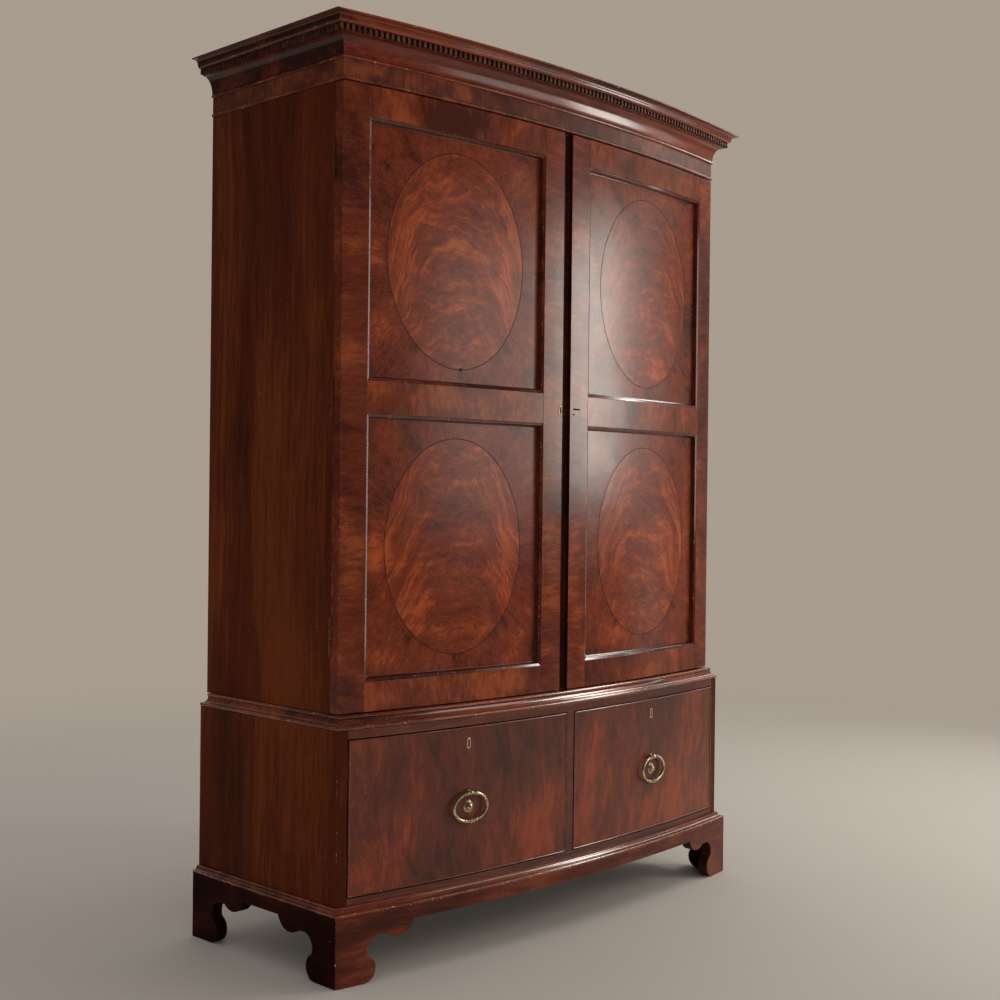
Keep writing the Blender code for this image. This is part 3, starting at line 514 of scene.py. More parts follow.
@dataclass(frozen=True)
class Mahogany(Finish):
    """Polished mahogany with its figure running one way."""

    grain: Grain = Grain.UPRIGHT
    dark: Colour = (0.030, 0.007, 0.004)
    middle: Colour = (0.110, 0.022, 0.008)
    light: Colour = (0.26, 0.065, 0.016)
    patch: float = 7.0
    patch_length: float = 2.0
    streak: float = 60.0
    streak_length: float = 14.0
    wander: float = 0.05
    fine: float = 0.4
    gloss: float = 0.20
    shine: float = 0.5
    nicks: float = 0.10
    # How strongly rubbed wear and painted shade show on this finish.
    rub: float = 1.0
    ripple: float = 0.0012
    spread: float = 0.14
    coat: float = 0.0
    coat_gloss: float = 0.16
    coat_index: float = 1.5
    seed: Colour = (0.0, 0.0, 0.0)
    glows: tuple[Cloud, ...] = ()
    # How far painted shade darkens faces that look left or right.
    ends: float = 0.0

    def paint(self, sheet: Sheet, shader: Node) -> None:
        """Wires figure, stain, wear, painted light and shade, and polish into the shader.

        Args:
            sheet: The material's tree.
            shader: Its shader.
        """
        place = sheet.coords("Object")
        inputs = {"Vector": place, "Location": self.seed, "Rotation": self.grain.value}
        turned = sheet.out("ShaderNodeMapping", inputs)
        tone, pore = self.figure(sheet, place, turned)
        self.polish(sheet, shader, place, turned, tone, pore)

    def figure(self, sheet: Sheet, place: Socket, turned: Socket) -> tuple[Socket, Socket]:
        """Tone and pores of the wood.

        Args:
            sheet: The material's tree.
            place: Object coordinates.
            turned: The same, turned so that the grain runs along Z.

        Returns:
            The tone and the pores.
        """
        inputs = {"Vector": turned, "Patch": self.patch, "Patch Length": self.patch_length}
        inputs |= {"Streak": self.streak, "Streak Length": self.streak_length, "Wander": self.wander}
        inputs |= {"Mix": self.fine, "Spread": self.spread}
        node = self.group(sheet, Effects.figure(), inputs)
        return self.glowing(sheet, place, node.outputs["Tone"]), node.outputs["Pore"]

    def glowing(self, sheet: Sheet, place: Socket, tone: Socket) -> Socket:
        """Adds this piece's lighter and darker clouds, some the wood's own patches and some painted sheen and
        painted shade, and painted shade on faces that look left or right.

        Args:
            sheet: The material's tree.
            place: Object coordinates.
            tone: The wood's tone.

        Returns:
            The new tone.
        """
        for x, z, wide, tall, strength in self.glows:
            inputs = {"Vector": place, "Middle": (x, 0.0, z), "Size": (wide, 9.0, tall), "Strength": strength}
            tone = sheet.plus(tone, self.group(sheet, Effects.glow(), inputs).outputs[0])
        # Painted shade: faces that look left or right are darkened by this amount.
        if self.ends:
            sideways = sheet.math("ABSOLUTE", sheet.split(sheet.coords("Normal"))[0])
            tone = sheet.minus(tone, sheet.range(sideways, 0.36, 0.48, (0.0, self.ends)))
        return tone

    def polish(
        self, sheet: Sheet, shader: Node, place: Socket, turned: Socket, tone: Socket, pore: Socket
    ) -> None:
        """Wires stain, wear, painted shade and gloss into the shader.

        Args:
            sheet: The material's tree.
            shader: Its shader.
            place: Object coordinates.
            turned: The same, turned so that the grain runs along Z.
            tone: The wood's tone.
            pore: Its pores.
        """
        colours = {"Dark": opaque(self.dark), "Middle": opaque(self.middle), "Light": opaque(self.light)}
        stain = self.group(sheet, Effects.stain(), {"Tone": tone, "Pore": pore, **colours})
        rubbed = sheet.add("ShaderNodeAttribute", attribute_name="rub", attribute_type="GEOMETRY")
        rub = sheet.times(rubbed.outputs["Fac"], self.rub)
        wear = {"Color": stain.outputs[0], "Vector": place, "Rub": rub, "Nicks": self.nicks}
        worn = self.group(sheet, Effects.wear_and_shade(), wear)
        gloss = {"Vector": turned, "Gloss": self.gloss, "Worn": worn.outputs["Worn"], "Pore": pore}
        sheen = self.group(sheet, Effects.polish(), gloss)
        bump = sheet.bump(1.0, self.ripple, sheen.outputs["Height"])
        surface = {"Base Color": worn.outputs["Color"], "Roughness": sheen.outputs["Roughness"]}
        surface |= {"Normal": bump, "Specular IOR Level": self.shine}
        surface |= {"Coat Roughness": self.coat_gloss, "Coat IOR": self.coat_index}
        # The coat is thinner where painted shade darkens the wood.
        if self.coat:
            surface["Coat Weight"] = sheet.times(worn.outputs["Clean"], self.coat)
        sheet.fill(shader, surface)


@dataclass(frozen=True)
class MouldedMahogany(Mahogany):
    """Mahogany of a moulding, with its grain along the run."""

    slot: Slot = Slot.MOULDED
    grain: Grain = Grain.ACROSS
    patch: float = 9.0
    patch_length: float = 3.5
    streak: float = 110.0
    fine: float = 0.5


@dataclass(frozen=True)
class OvalVeneer(Mahogany):
    """A door panel's veneer: a flame in an oval, with quartered corners round it."""

    slot: Slot = Slot.FIGURED
    dark: Colour = (0.046, 0.0070, 0.0040)
    middle: Colour = (0.195, 0.029, 0.0078)
    light: Colour = (0.47, 0.086, 0.016)
    gloss: float = 0.22
    shine: float = 0.45
    nicks: float = 0.06
    ripple: float = 0.0004
    centre: Pair = (0.0, 0.0)
    oval: Pair = (0.405, 0.500)
    plume: float = 6.5

    def figure(self, sheet: Sheet, place: Socket, turned: Socket) -> tuple[Socket, Socket]:
        """Arches in the oval and slanting streaks round it in front, plain wood behind.

        Args:
            sheet: The material's tree.
            place: Object coordinates.
            turned: The same, turned so that the grain runs along Z.

        Returns:
            The tone and the pores.
        """
        shift = (-self.centre[0], 0.0, -self.centre[1])
        local = sheet.out("ShaderNodeMapping", {"Vector": place, "Location": shift})
        drift = sheet.drift(turned, 6.0, 4.0, 0.55)
        moved = sheet.vector("ADD", local, sheet.vector("MULTIPLY", drift, (0.10, 0.10, 0.10)))
        inside, pore = self.plumes(sheet, moved)
        outside = self.corners(sheet, local, drift)
        x, _, z = sheet.split(local)
        wide = sheet.math("DIVIDE", x, self.oval[0] / 2)
        tall = sheet.math("DIVIDE", z, self.oval[1] / 2)
        reach = sheet.plus(sheet.times(wide, wide), sheet.times(tall, tall))
        tone = sheet.between(sheet.math("LESS_THAN", reach, 1.0), outside, inside)
        plain, _ = super().figure(sheet, place, turned)
        front = sheet.math("LESS_THAN", sheet.split(sheet.coords("Normal"))[1], 0.0)
        return sheet.between(front, plain, self.glowing(sheet, place, tone)), pore

    @staticmethod
    def waved(sheet: Sheet, tone: object, spot: Socket, detail: float, weight: object) -> Socket:
        """The tone with one more layer of waves in it."""
        wave = sheet.minus(sheet.noise(spot, 1.0, detail, 0.66, 0.3), 0.5)
        return sheet.math("MULTIPLY_ADD", wave, weight, tone)

    def plumes(self, sheet: Sheet, moved: Socket) -> tuple[Socket, Socket]:
        """The flame: level clouds in the middle, steep bright streaks at the sides.

        Args:
            sheet: The material's tree.
            moved: Coordinates from the oval's middle, with a drift.

        Returns:
            The tone and the pores.
        """
        x, _, z = sheet.split(moved)
        off = sheet.math("ABSOLUTE", x)
        arch = sheet.plus(z, sheet.times(sheet.times(x, x), self.plume))
        middle = sheet.range(off, 0.17, 0.05, (0.30, 1.0))
        flank = sheet.range(off, 0.03, 0.15, (0.25, 1.0))
        layers = (
            (6.0, 23.0, z, 5.0, sheet.times(middle, 1.45)),
            (38.0, 80.0, z, 4.0, sheet.times(middle, 0.85)),
            (4.0, 13.0, arch, 3.0, sheet.times(flank, 1.50)),
            (17.0, 120.0, arch, 5.0, sheet.times(flank, 0.95)),
            (45.0, 420.0, arch, 2.0, sheet.times(flank, 1.20)),
        )
        tone = sheet.range(off, 0.05, 0.19, (0.53, 0.56))
        for along, across, height, detail, weight in layers:
            spot = sheet.join(sheet.times(x, along), self.seed[1], sheet.times(height, across))
            tone = self.waved(sheet, tone, spot, detail, weight)
        fine = sheet.join(sheet.times(x, 55.0), self.seed[0], sheet.times(arch, 700.0))
        return tone, sheet.range(sheet.noise(fine, 1.0, 1.0), 0.55, 0.72)

    def corners(self, sheet: Sheet, local: Socket, drift: Socket) -> Socket:
        """The four corners, whose streaks run out from the oval, with the joints between them.

        Args:
            sheet: The material's tree.
            local: Coordinates from the oval's middle.
            drift: The figure's drift.

        Returns:
            The tone.
        """
        moved = sheet.vector("ADD", local, sheet.vector("MULTIPLY", drift, (0.06, 0.06, 0.06)))
        x, _, z = sheet.split(moved)
        quarter = sheet.plus(sheet.math("SIGN", x), sheet.times(sheet.math("SIGN", z), 2.0))
        angle = sheet.math("ARCTAN2", sheet.math("ABSOLUTE", z), sheet.math("ABSOLUTE", x))
        far = sheet.vector("LENGTH", sheet.join(x, 0.0, z))
        tone = 0.38
        layers = ((2.6, 9.0, 5.0, 1.30), (15.0, 11.0, 5.0, 0.80), (80.0, 60.0, 2.0, 0.80))
        for turn, out, detail, weight in layers:
            rays = sheet.join(sheet.times(angle, turn), sheet.times(far, out), quarter)
            tone = self.waved(sheet, tone, rays, detail, weight)
        x, _, z = sheet.split(local)
        near = sheet.math("MINIMUM", sheet.math("ABSOLUTE", x), sheet.math("ABSOLUTE", z))
        return sheet.minus(tone, sheet.range(near, 0.0012, 0.0002, (0.0, 0.22)))


@dataclass(frozen=True)
class InsideWood(Finish):
    """Bare softwood with growth rings, for linings and backs."""

    grain: Grain = Grain.UPRIGHT
    pale: Colour = (0.36, 0.22, 0.115)
    ring: Colour = (0.20, 0.105, 0.048)
    light: Colour = (0.46, 0.31, 0.17)
    dirt: Colour = (0.10, 0.055, 0.028)

    def paint(self, sheet: Sheet, shader: Node) -> None:
        """Wires growth rings, stains and a dry surface into the shader.

        Args:
            sheet: The material's tree.
            shader: Its shader.
        """
        place = sheet.coords("Object")
        turned = sheet.out("ShaderNodeMapping", {"Vector": place, "Rotation": self.grain.value})
        inputs = {"Vector": turned, "Patch": 9.0, "Patch Length": 5.0, "Streak": 90.0, "Streak Length": 30.0}
        node = self.group(sheet, Effects.figure(), inputs | {"Wander": 0.08, "Mix": 0.62, "Spread": 0.18})
        colours = {"Dark": opaque(self.ring), "Middle": opaque(self.pale), "Light": opaque(self.light)}
        tone, pore = node.outputs["Tone"], node.outputs["Pore"]
        stain = self.group(sheet, Effects.stain(), {"Tone": tone, "Pore": pore, **colours})
        dirt = sheet.range(sheet.noise(place, 3.5, 4.0, 0.6), 0.42, 0.75, (0.0, 0.5))
        aged = sheet.blend(dirt, stain.outputs[0], opaque(self.dirt))
        rough = sheet.range(tone, 0.0, 1.0, (0.74, 0.60))
        bump = sheet.bump(0.5, 0.0006, tone)
        sheet.fill(shader, {"Base Color": aged, "Roughness": rough, "Normal": bump})


@dataclass(frozen=True)
class AgedBrass(Finish):
    """Lacquered brass gone dull, darker in patches."""

    bright: Colour = (0.70, 0.54, 0.30)
    dull: Colour = (0.30, 0.20, 0.09)
    gloss: float = 0.28

    def paint(self, sheet: Sheet, shader: Node) -> None:
        """Wires tarnish, gloss and casting marks into the shader.

        Args:
            sheet: The material's tree.
            shader: Its shader.
        """
        place = sheet.coords("Object")
        cloud = sheet.noise(place, 130.0, 4.0, 0.6)
        specks = sheet.noise(place, 900.0, 2.0)
        specked = sheet.range(specks, 0.6, 0.75, (0.0, 0.35))
        tarnish = sheet.plus(sheet.range(cloud, 0.38, 0.7), specked, clamp=True)
        rough = sheet.plus(sheet.times(tarnish, 0.22), self.gloss)
        bump = sheet.bump(0.35, 0.0003, cloud)
        colour = sheet.blend(tarnish, opaque(self.bright), opaque(self.dull))
        sheet.fill(shader, {"Base Color": colour, "Roughness": rough, "Normal": bump, "Metallic": 1.0})


@dataclass(frozen=True)
class NearBlack(Finish):
    """A near-black finish: blackened wood for inlaid lines, and painted shade for the openings of keyholes
    and of old holes and slots.
    """

    tone: Colour = (0.010, 0.006, 0.005)
    warmth: float = 3.2
    shine: float = 0.08

    def paint(self, sheet: Sheet, shader: Node) -> None:
        """Wires a dark, uneven colour into the shader.

        Args:
            sheet: The material's tree.
            shader: Its shader.
        """
        place = sheet.coords("Object")
        cloud = sheet.noise(place, 60.0, 3.0)
        warm = tuple(part * self.warmth for part in self.tone)
        colour = sheet.blend(sheet.range(cloud, 0.45, 0.75), opaque(self.tone), opaque(warm))
        rough = sheet.range(cloud, 0.3, 0.7, (0.5, 0.75))
        sheet.fill(shader, {"Base Color": colour, "Roughness": rough, "Specular IOR Level": self.shine})


CASE_SIDE = Mahogany(
    "case_side_mahogany", Slot.CASE, patch=4.0, patch_length=5.0, streak=70.0, streak_length=22.0, fine=0.45,
    dark=(0.056, 0.0085, 0.0014), middle=(0.105, 0.0165, 0.0026), light=(0.185, 0.038, 0.006),
    gloss=0.50, shine=0.08, nicks=0.05, spread=0.15,
)
PLINTH_WOOD = Mahogany(
    "plinth_mahogany", Slot.CASE, grain=Grain.ACROSS, patch=8.0, patch_length=3.0, fine=0.5,
    dark=(0.046, 0.0075, 0.004), middle=(0.098, 0.0155, 0.0062), light=(0.20, 0.042, 0.014),
    gloss=0.30, shine=0.25, nicks=0.45, ripple=0.0005,
)
PLINTH_LIP = MouldedMahogany(
    "plinth_lip_mahogany", coat=1.0, coat_gloss=0.11, coat_index=1.9,
    dark=(0.046, 0.0075, 0.004), middle=(0.172, 0.0290, 0.0118), light=(0.30, 0.062, 0.022),
    gloss=0.26, shine=0.1, nicks=0.5, ripple=0.0004,
)
PLINTH_END = Mahogany(
    "plinth_end_mahogany", Slot.CASE, grain=Grain.DEEP, patch=8.0, patch_length=3.0, fine=0.5,
    dark=(0.010, 0.0014, 0.0008), middle=(0.021, 0.0028, 0.0014), light=(0.050, 0.0090, 0.0032),
    gloss=0.48, shine=0.04, nicks=0.3,
)
RAIL_EDGE = Mahogany(
    "drawer_rail_mahogany", Slot.CASE, grain=Grain.ACROSS, patch=6.0, patch_length=4.0, fine=0.5,
    dark=(0.050, 0.009, 0.005), middle=(0.105, 0.018, 0.009), light=(0.19, 0.043, 0.017),
    gloss=0.30, nicks=0.15,
)
FRIEZE_BANDING = Mahogany(
    "frieze_crossbanding", Slot.CASE, patch=11.0, patch_length=0.9, streak=80.0, streak_length=4.0, fine=0.42,
    dark=(0.054, 0.011, 0.006), middle=(0.118, 0.023, 0.010), light=(0.27, 0.057, 0.014),
    gloss=0.33, shine=0.30, spread=0.17,
    glows=((-0.61, 2.00, 0.06, 0.03, 0.20), (-0.36, 2.00, 0.05, 0.03, 0.30), (0.22, 2.00, 0.10, 0.03, 0.12)),
)
STILE_BANDING = Mahogany(
    "stile_crossbanding", Slot.FIGURED, grain=Grain.ACROSS, patch=7.0, patch_length=1.6, streak=75.0,
    streak_length=8.0, fine=0.5, wander=0.10,
    dark=(0.064, 0.0105, 0.0052), middle=(0.150, 0.0245, 0.0085), light=(0.32, 0.064, 0.016),
    gloss=0.22, shine=0.4, ripple=0.0005, spread=0.17,
    # The darker clouds high on the left meeting stile and along the right hinge stile are painted shade.
    glows=(
        (-0.645, 0.93, 0.05, 0.11, 0.40), (-0.645, 1.55, 0.06, 0.10, 0.12), (-0.05, 0.85, 0.05, 0.20, 0.12),
        (-0.645, 1.80, 0.05, 0.10, -0.16), (0.045, 0.85, 0.05, 0.22, 0.26), (0.655, 1.35, 0.05, 0.80, -0.26),
        (-0.05, 1.74, 0.05, 0.16, -0.14), (-0.046, 1.62, 0.016, 0.022, -0.7),
    ),
)
RAIL_BANDING = Mahogany(
    "rail_crossbanding", Slot.FIGURED, patch=7.0, patch_length=1.2, streak=60.0, streak_length=3.5, fine=0.42,
    wander=0.16,
    dark=(0.070, 0.0115, 0.0055), middle=(0.165, 0.0280, 0.0095), light=(0.34, 0.068, 0.016),
    gloss=0.22, shine=0.4, ripple=0.0005, spread=0.16,
    # The lighter cloud on the left door's lock rail is painted sheen.
    glows=(
        (-0.40, 1.93, 0.26, 0.07, -0.26), (-0.36, 1.28, 0.26, 0.05, 0.30), (-0.20, 0.61, 0.12, 0.04, 0.20),
        (-0.55, 0.61, 0.05, 0.04, 0.15),
    ),
)
DRAWER_VENEER = Mahogany(
    "drawer_front_veneer", Slot.FIGURED, patch=3.2, patch_length=1.4, streak=46.0, streak_length=6.0,
    fine=0.54, wander=0.20,
    dark=(0.056, 0.0140, 0.0092), middle=(0.128, 0.0250, 0.0112), light=(0.31, 0.052, 0.0140),
    gloss=0.33, shine=0.44, nicks=0.35, spread=0.17,
    # The lighter clouds either side of the divider are partly a lighter zone of the wood and partly painted
    # sheen.
    glows=(
        (-0.58, 0.26, 0.12, 0.14, 0.24), (-0.34, 0.44, 0.18, 0.12, -0.20), (-0.45, 0.25, 0.06, 0.10, -0.10),
        (-0.10, 0.30, 0.15, 0.18, 0.30), (-0.22, 0.36, 0.12, 0.10, -0.12), (0.10, 0.34, 0.10, 0.20, 0.26),
        (0.31, 0.40, 0.15, 0.18, -0.18), (0.58, 0.36, 0.12, 0.22, 0.06),
    ),
)
MOULDING = MouldedMahogany(
    "moulding_mahogany", coat=0.6, coat_index=1.75,
    dark=(0.034, 0.0044, 0.0018), middle=(0.185, 0.0230, 0.0068), light=(0.30, 0.045, 0.011),
    gloss=0.30, shine=0.12, nicks=0.12, ripple=0.0003,
    # The broad lighter cloud on the left half of the front is partly redder wood and partly a painted
    # highlight on the cove. The ends amount darkens the side returns: painted shade, and partly a darker
    # finish there.
    glows=((-0.25, 2.05, 0.50, 9.0, 0.24),), ends=0.6,
)
WAIST_WOOD = MouldedMahogany(
    "waist_moulding_mahogany", coat=1.0, coat_gloss=0.11, coat_index=1.85,
    dark=(0.052, 0.0085, 0.0040), middle=(0.180, 0.0300, 0.0108), light=(0.31, 0.062, 0.020),
    gloss=0.26, shine=0.1, nicks=0.4, ripple=0.0004,
)
PANEL_BEAD = MouldedMahogany(
    "panel_moulding_mahogany", coat=0.8, coat_gloss=0.10,
    dark=(0.030, 0.005, 0.003), middle=(0.080, 0.013, 0.006), light=(0.16, 0.033, 0.012),
    gloss=0.14, nicks=0.2, ripple=0.0003,
)
COCK_BEAD = MouldedMahogany(
    "cock_bead_mahogany", coat=1.0, coat_gloss=0.12,
    dark=(0.050, 0.010, 0.006), middle=(0.130, 0.027, 0.013), light=(0.26, 0.065, 0.026),
    gloss=0.22, nicks=0.05, ripple=0.0004, rub=0.3,
)
DENTIL_WOOD = Mahogany(
    "dentil_mahogany", Slot.MOULDED, patch=30.0, patch_length=2.0, streak=160.0,
    dark=(0.045, 0.014, 0.008), middle=(0.095, 0.033, 0.020), light=(0.16, 0.062, 0.038),
    # The ends amount darkens faces that look left or right, most of all the teeth along the sides: painted
    # shade.
    gloss=0.5, shine=0.3, nicks=0.05, ends=0.6,
)
LINING_UPRIGHT = InsideWood("lining_upright", Slot.INSIDE)
LINING_ACROSS = InsideWood("lining_across", Slot.INSIDE, grain=Grain.ACROSS)
LINING_DEEP = InsideWood("lining_deep", Slot.INSIDE, grain=Grain.DEEP)
BRASS = AgedBrass("pull_brass", Slot.BRASS, (0.84, 0.72, 0.48), (0.42, 0.31, 0.17), gloss=0.24)
KEYHOLE_BRASS = AgedBrass("keyhole_brass", Slot.BRASS, (0.40, 0.31, 0.17), (0.20, 0.14, 0.07), gloss=0.42)
HINGE_BRASS = AgedBrass("hinge_brass", Slot.BRASS, (0.42, 0.20, 0.10), (0.16, 0.07, 0.035), gloss=0.36)
DARK_LINE = NearBlack("dark_stringing", Slot.FIGURED, tone=(0.030, 0.011, 0.007))
# Painted shade: the dark plates that stand for the insides of keyholes and of old holes and slots.
HOLE_SHADE = NearBlack("keyhole_dark", Slot.FIGURED, tone=(0.006, 0.004, 0.003))


def finished_mesh(name: str, shape: Shape, sharp: float = SHARP_ANGLE) -> Mesh:
    """Closes a shape and makes it a mesh, smooth but for its arrises.

    Args:
        name: The mesh's name.
        shape: The shape, which is used up.
        sharp: The angle between faces from which an edge is an arris.

    Returns:
        The mesh, its faces outwards.
    """
    bmesh.ops.remove_doubles(shape, verts=shape.verts, dist=MERGE)
    bmesh.ops.dissolve_degenerate(shape, edges=shape.edges, dist=MERGE)
    bmesh.ops.recalc_face_normals(shape, faces=shape.faces)
    for face in shape.faces:
        face.smooth = True
    for edge in shape.edges:
        edge.smooth = len(edge.link_faces) == 2 and edge.calc_face_angle(0.0) < sharp
    mesh = bpy.data.meshes.new(name)
    shape.to_mesh(mesh)
    shape.free()
    return mesh


def rounded(shape: Shape, rounding: float) -> None:
    """Rounds the arrises of a shape and marks the new faces as rubbed.

    Args:
        shape: The shape, which is changed.
        rounding: Width of the rounding.
    """
    rub = shape.faces.layers.float.get("rub") or shape.faces.layers.float.new("rub")
    inner = [edge for edge in shape.edges if len(edge.link_faces) == 2]
    arrises = [edge for edge in inner if edge.calc_face_angle(0.0) > ARRIS_ANGLE]
    made = bmesh.ops.bevel(
        shape, geom=arrises, offset=rounding, offset_type="OFFSET", segments=2, profile=0.5, affect="EDGES",
        clamp_overlap=True,
    )
    for face in made["faces"]:
        face[rub] = 1.0


def darkened(mesh: Mesh, amount: float, where: Callable[[bpy.types.MeshPolygon], bool]) -> Mesh:
    """Marks a board's faces to be darkened towards near-black by the finish.

    Args:
        mesh: The board's mesh.
        amount: How far they are darkened, up to 1.
        where: Says which faces.

    Returns:
        The same mesh.
    """
    values = mesh.attributes["rub"].data
    for face in mesh.polygons:
        if values[face.index].value < 0.5 and where(face):
            values[face.index].value = -amount
    return mesh


def edgewise(face: bpy.types.MeshPolygon) -> bool:
    """Whether a face of a board looks neither forward nor back."""
    return abs(face.normal.y) < 0.5


def plan_board(name: str, outline: Plan, low: float, high: float, rounding: float = 0.0005) -> Mesh:
    """A board from its plan outline, with rounded arrises.

    Args:
        name: The mesh's name.
        outline: Plan points in order.
        low: Height of its underside.
        high: Height of its top.
        rounding: Width of the rounding.

    Returns:
        A closed mesh.
    """
    shape = bmesh.new()
    face = shape.faces.new([shape.verts.new((x, y, low)) for x, y in outline])
    drawn = bmesh.ops.extrude_face_region(shape, geom=[face])["geom"]
    raised = [item for item in drawn if isinstance(item, bmesh.types.BMVert)]
    bmesh.ops.translate(shape, verts=raised, vec=(0.0, 0.0, high - low))
    bmesh.ops.recalc_face_normals(shape, faces=shape.faces)
    rounded(shape, rounding)
    return finished_mesh(name, shape, FLAT_ANGLE)


def turned(profile: Plan, matrix: Matrix, steps: int = 32) -> Shape:
    """A lathe-turned shape.

    Args:
        profile: Points (radius, height) from end to end, the first and last on the axis.
        matrix: Where its Z axis goes.
        steps: How many sides it has.

    Returns:
        The shape.
    """
    shape = bmesh.new()
    chain = [shape.verts.new((radius, 0.0, height)) for radius, height in profile]
    edges = [shape.edges.new(pair) for pair in zip(chain, chain[1:])]
    bmesh.ops.spin(
        shape, geom=chain + edges, cent=(0, 0, 0), axis=(0, 0, 1), angle=math.tau, steps=steps, use_merge=True
    )
    bmesh.ops.remove_doubles(shape, verts=shape.verts, dist=MERGE)
    shape.transform(matrix)
    return shape


def joined(name: str, *meshes: Mesh) -> Mesh:
    """Several meshes as one.

    Args:
        name: The new mesh's name.
        *meshes: The meshes.

    Returns:
        The new mesh.
    """
    shape = bmesh.new()
    for mesh in meshes:
        shape.from_mesh(mesh)
    whole = bpy.data.meshes.new(name)
    shape.to_mesh(whole)
    shape.free()
    return whole


def place(name: str, mesh: Mesh, finish: Finish, body: str, *nodes: str) -> bpy.types.Object:
    """Sets a finished piece on its body.

    Args:
        name: The piece's name.
        mesh: Its mesh, in the part's frame.
        finish: Its finish.
        body: The CAD body that it rides on.
        *nodes: The CAD nodes that it stands for.

    Returns:
        The piece's object.
    """
    mesh.materials.clear()
    mesh.materials.append(finish.material())
    piece = bpy.data.objects.new(name, mesh)
    bpy.context.scene.collection.objects.link(piece)
    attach(piece, body)
    if nodes:
        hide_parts(*nodes)
    LOG.info("%s: %d faces on %s", name, len(mesh.polygons), body)
    return piece


def dress(finish: Finish, *nodes: str) -> None:
    """Gives CAD nodes that stay a finish.

    Args:
        finish: The finish.
        *nodes: The nodes' names.
    """
    for name in nodes:
        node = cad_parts[name]
        if not node.material_slots:
            node.data.materials.append(None)
        for slot in node.material_slots:
            slot.material = finish.material()
        LOG.info("%s: dressed in %s", name, finish.name)


def evaluated_mesh(holder: bpy.types.Object) -> Mesh:
    """The mesh of an object with its modifiers.

    Args:
        holder: The object, which is then removed.

    Returns:
        The mesh.
    """
    bpy.context.view_layer.update()
    graph = bpy.context.evaluated_depsgraph_get()
    mesh = bpy.data.meshes.new_from_object(
        holder.evaluated_get(graph), preserve_all_data_layers=True, depsgraph=graph
    )
    bpy.data.objects.remove(holder, do_unlink=True)
    return mesh


def grown(name: str, tree: Tree, start: Mesh, values: Mapping[str, object]) -> Mesh:
    """Runs a Geometry Nodes tree and keeps its result as a plain mesh.

    Args:
        name: The mesh's name.
        tree: The tree.
        start: The mesh that goes in.
        values: The tree's inputs by name.

    Returns:
        The closed mesh that came out.
    """
    holder = bpy.data.objects.new(f"{name}_start", start)
    bpy.context.scene.collection.objects.link(holder)
    modifier = holder.modifiers.new("grow", "NODES")
    modifier.node_group = tree
    for item in tree.interface.items_tree:
        if item.in_out == "INPUT" and item.name in values:
            modifier[item.identifier] = values[item.name]
    shape = bmesh.new()
    shape.from_mesh(evaluated_mesh(holder))
    open_edges = [edge for edge in shape.edges if len(edge.link_faces) == 1]
    if open_edges:
        bmesh.ops.holes_fill(shape, edges=open_edges)
    return finished_mesh(name, shape)


def point_mesh(name: str, points: Sequence[Sequence[float]], rub: Sequence[float] = ()) -> Mesh:
    """A mesh of loose points.

    Args:
        name: The mesh's name.
        points: Where they are.
        rub: How far each is rubbed, or below zero how dark painted shade makes it.

    Returns:
        The mesh.
    """
    mesh = bpy.data.meshes.new(name)
    mesh.from_pydata(points, [], [])
    if rub:
        mesh.attributes.new("rub", "FLOAT", "POINT").data.foreach_set("value", rub)
    return mesh


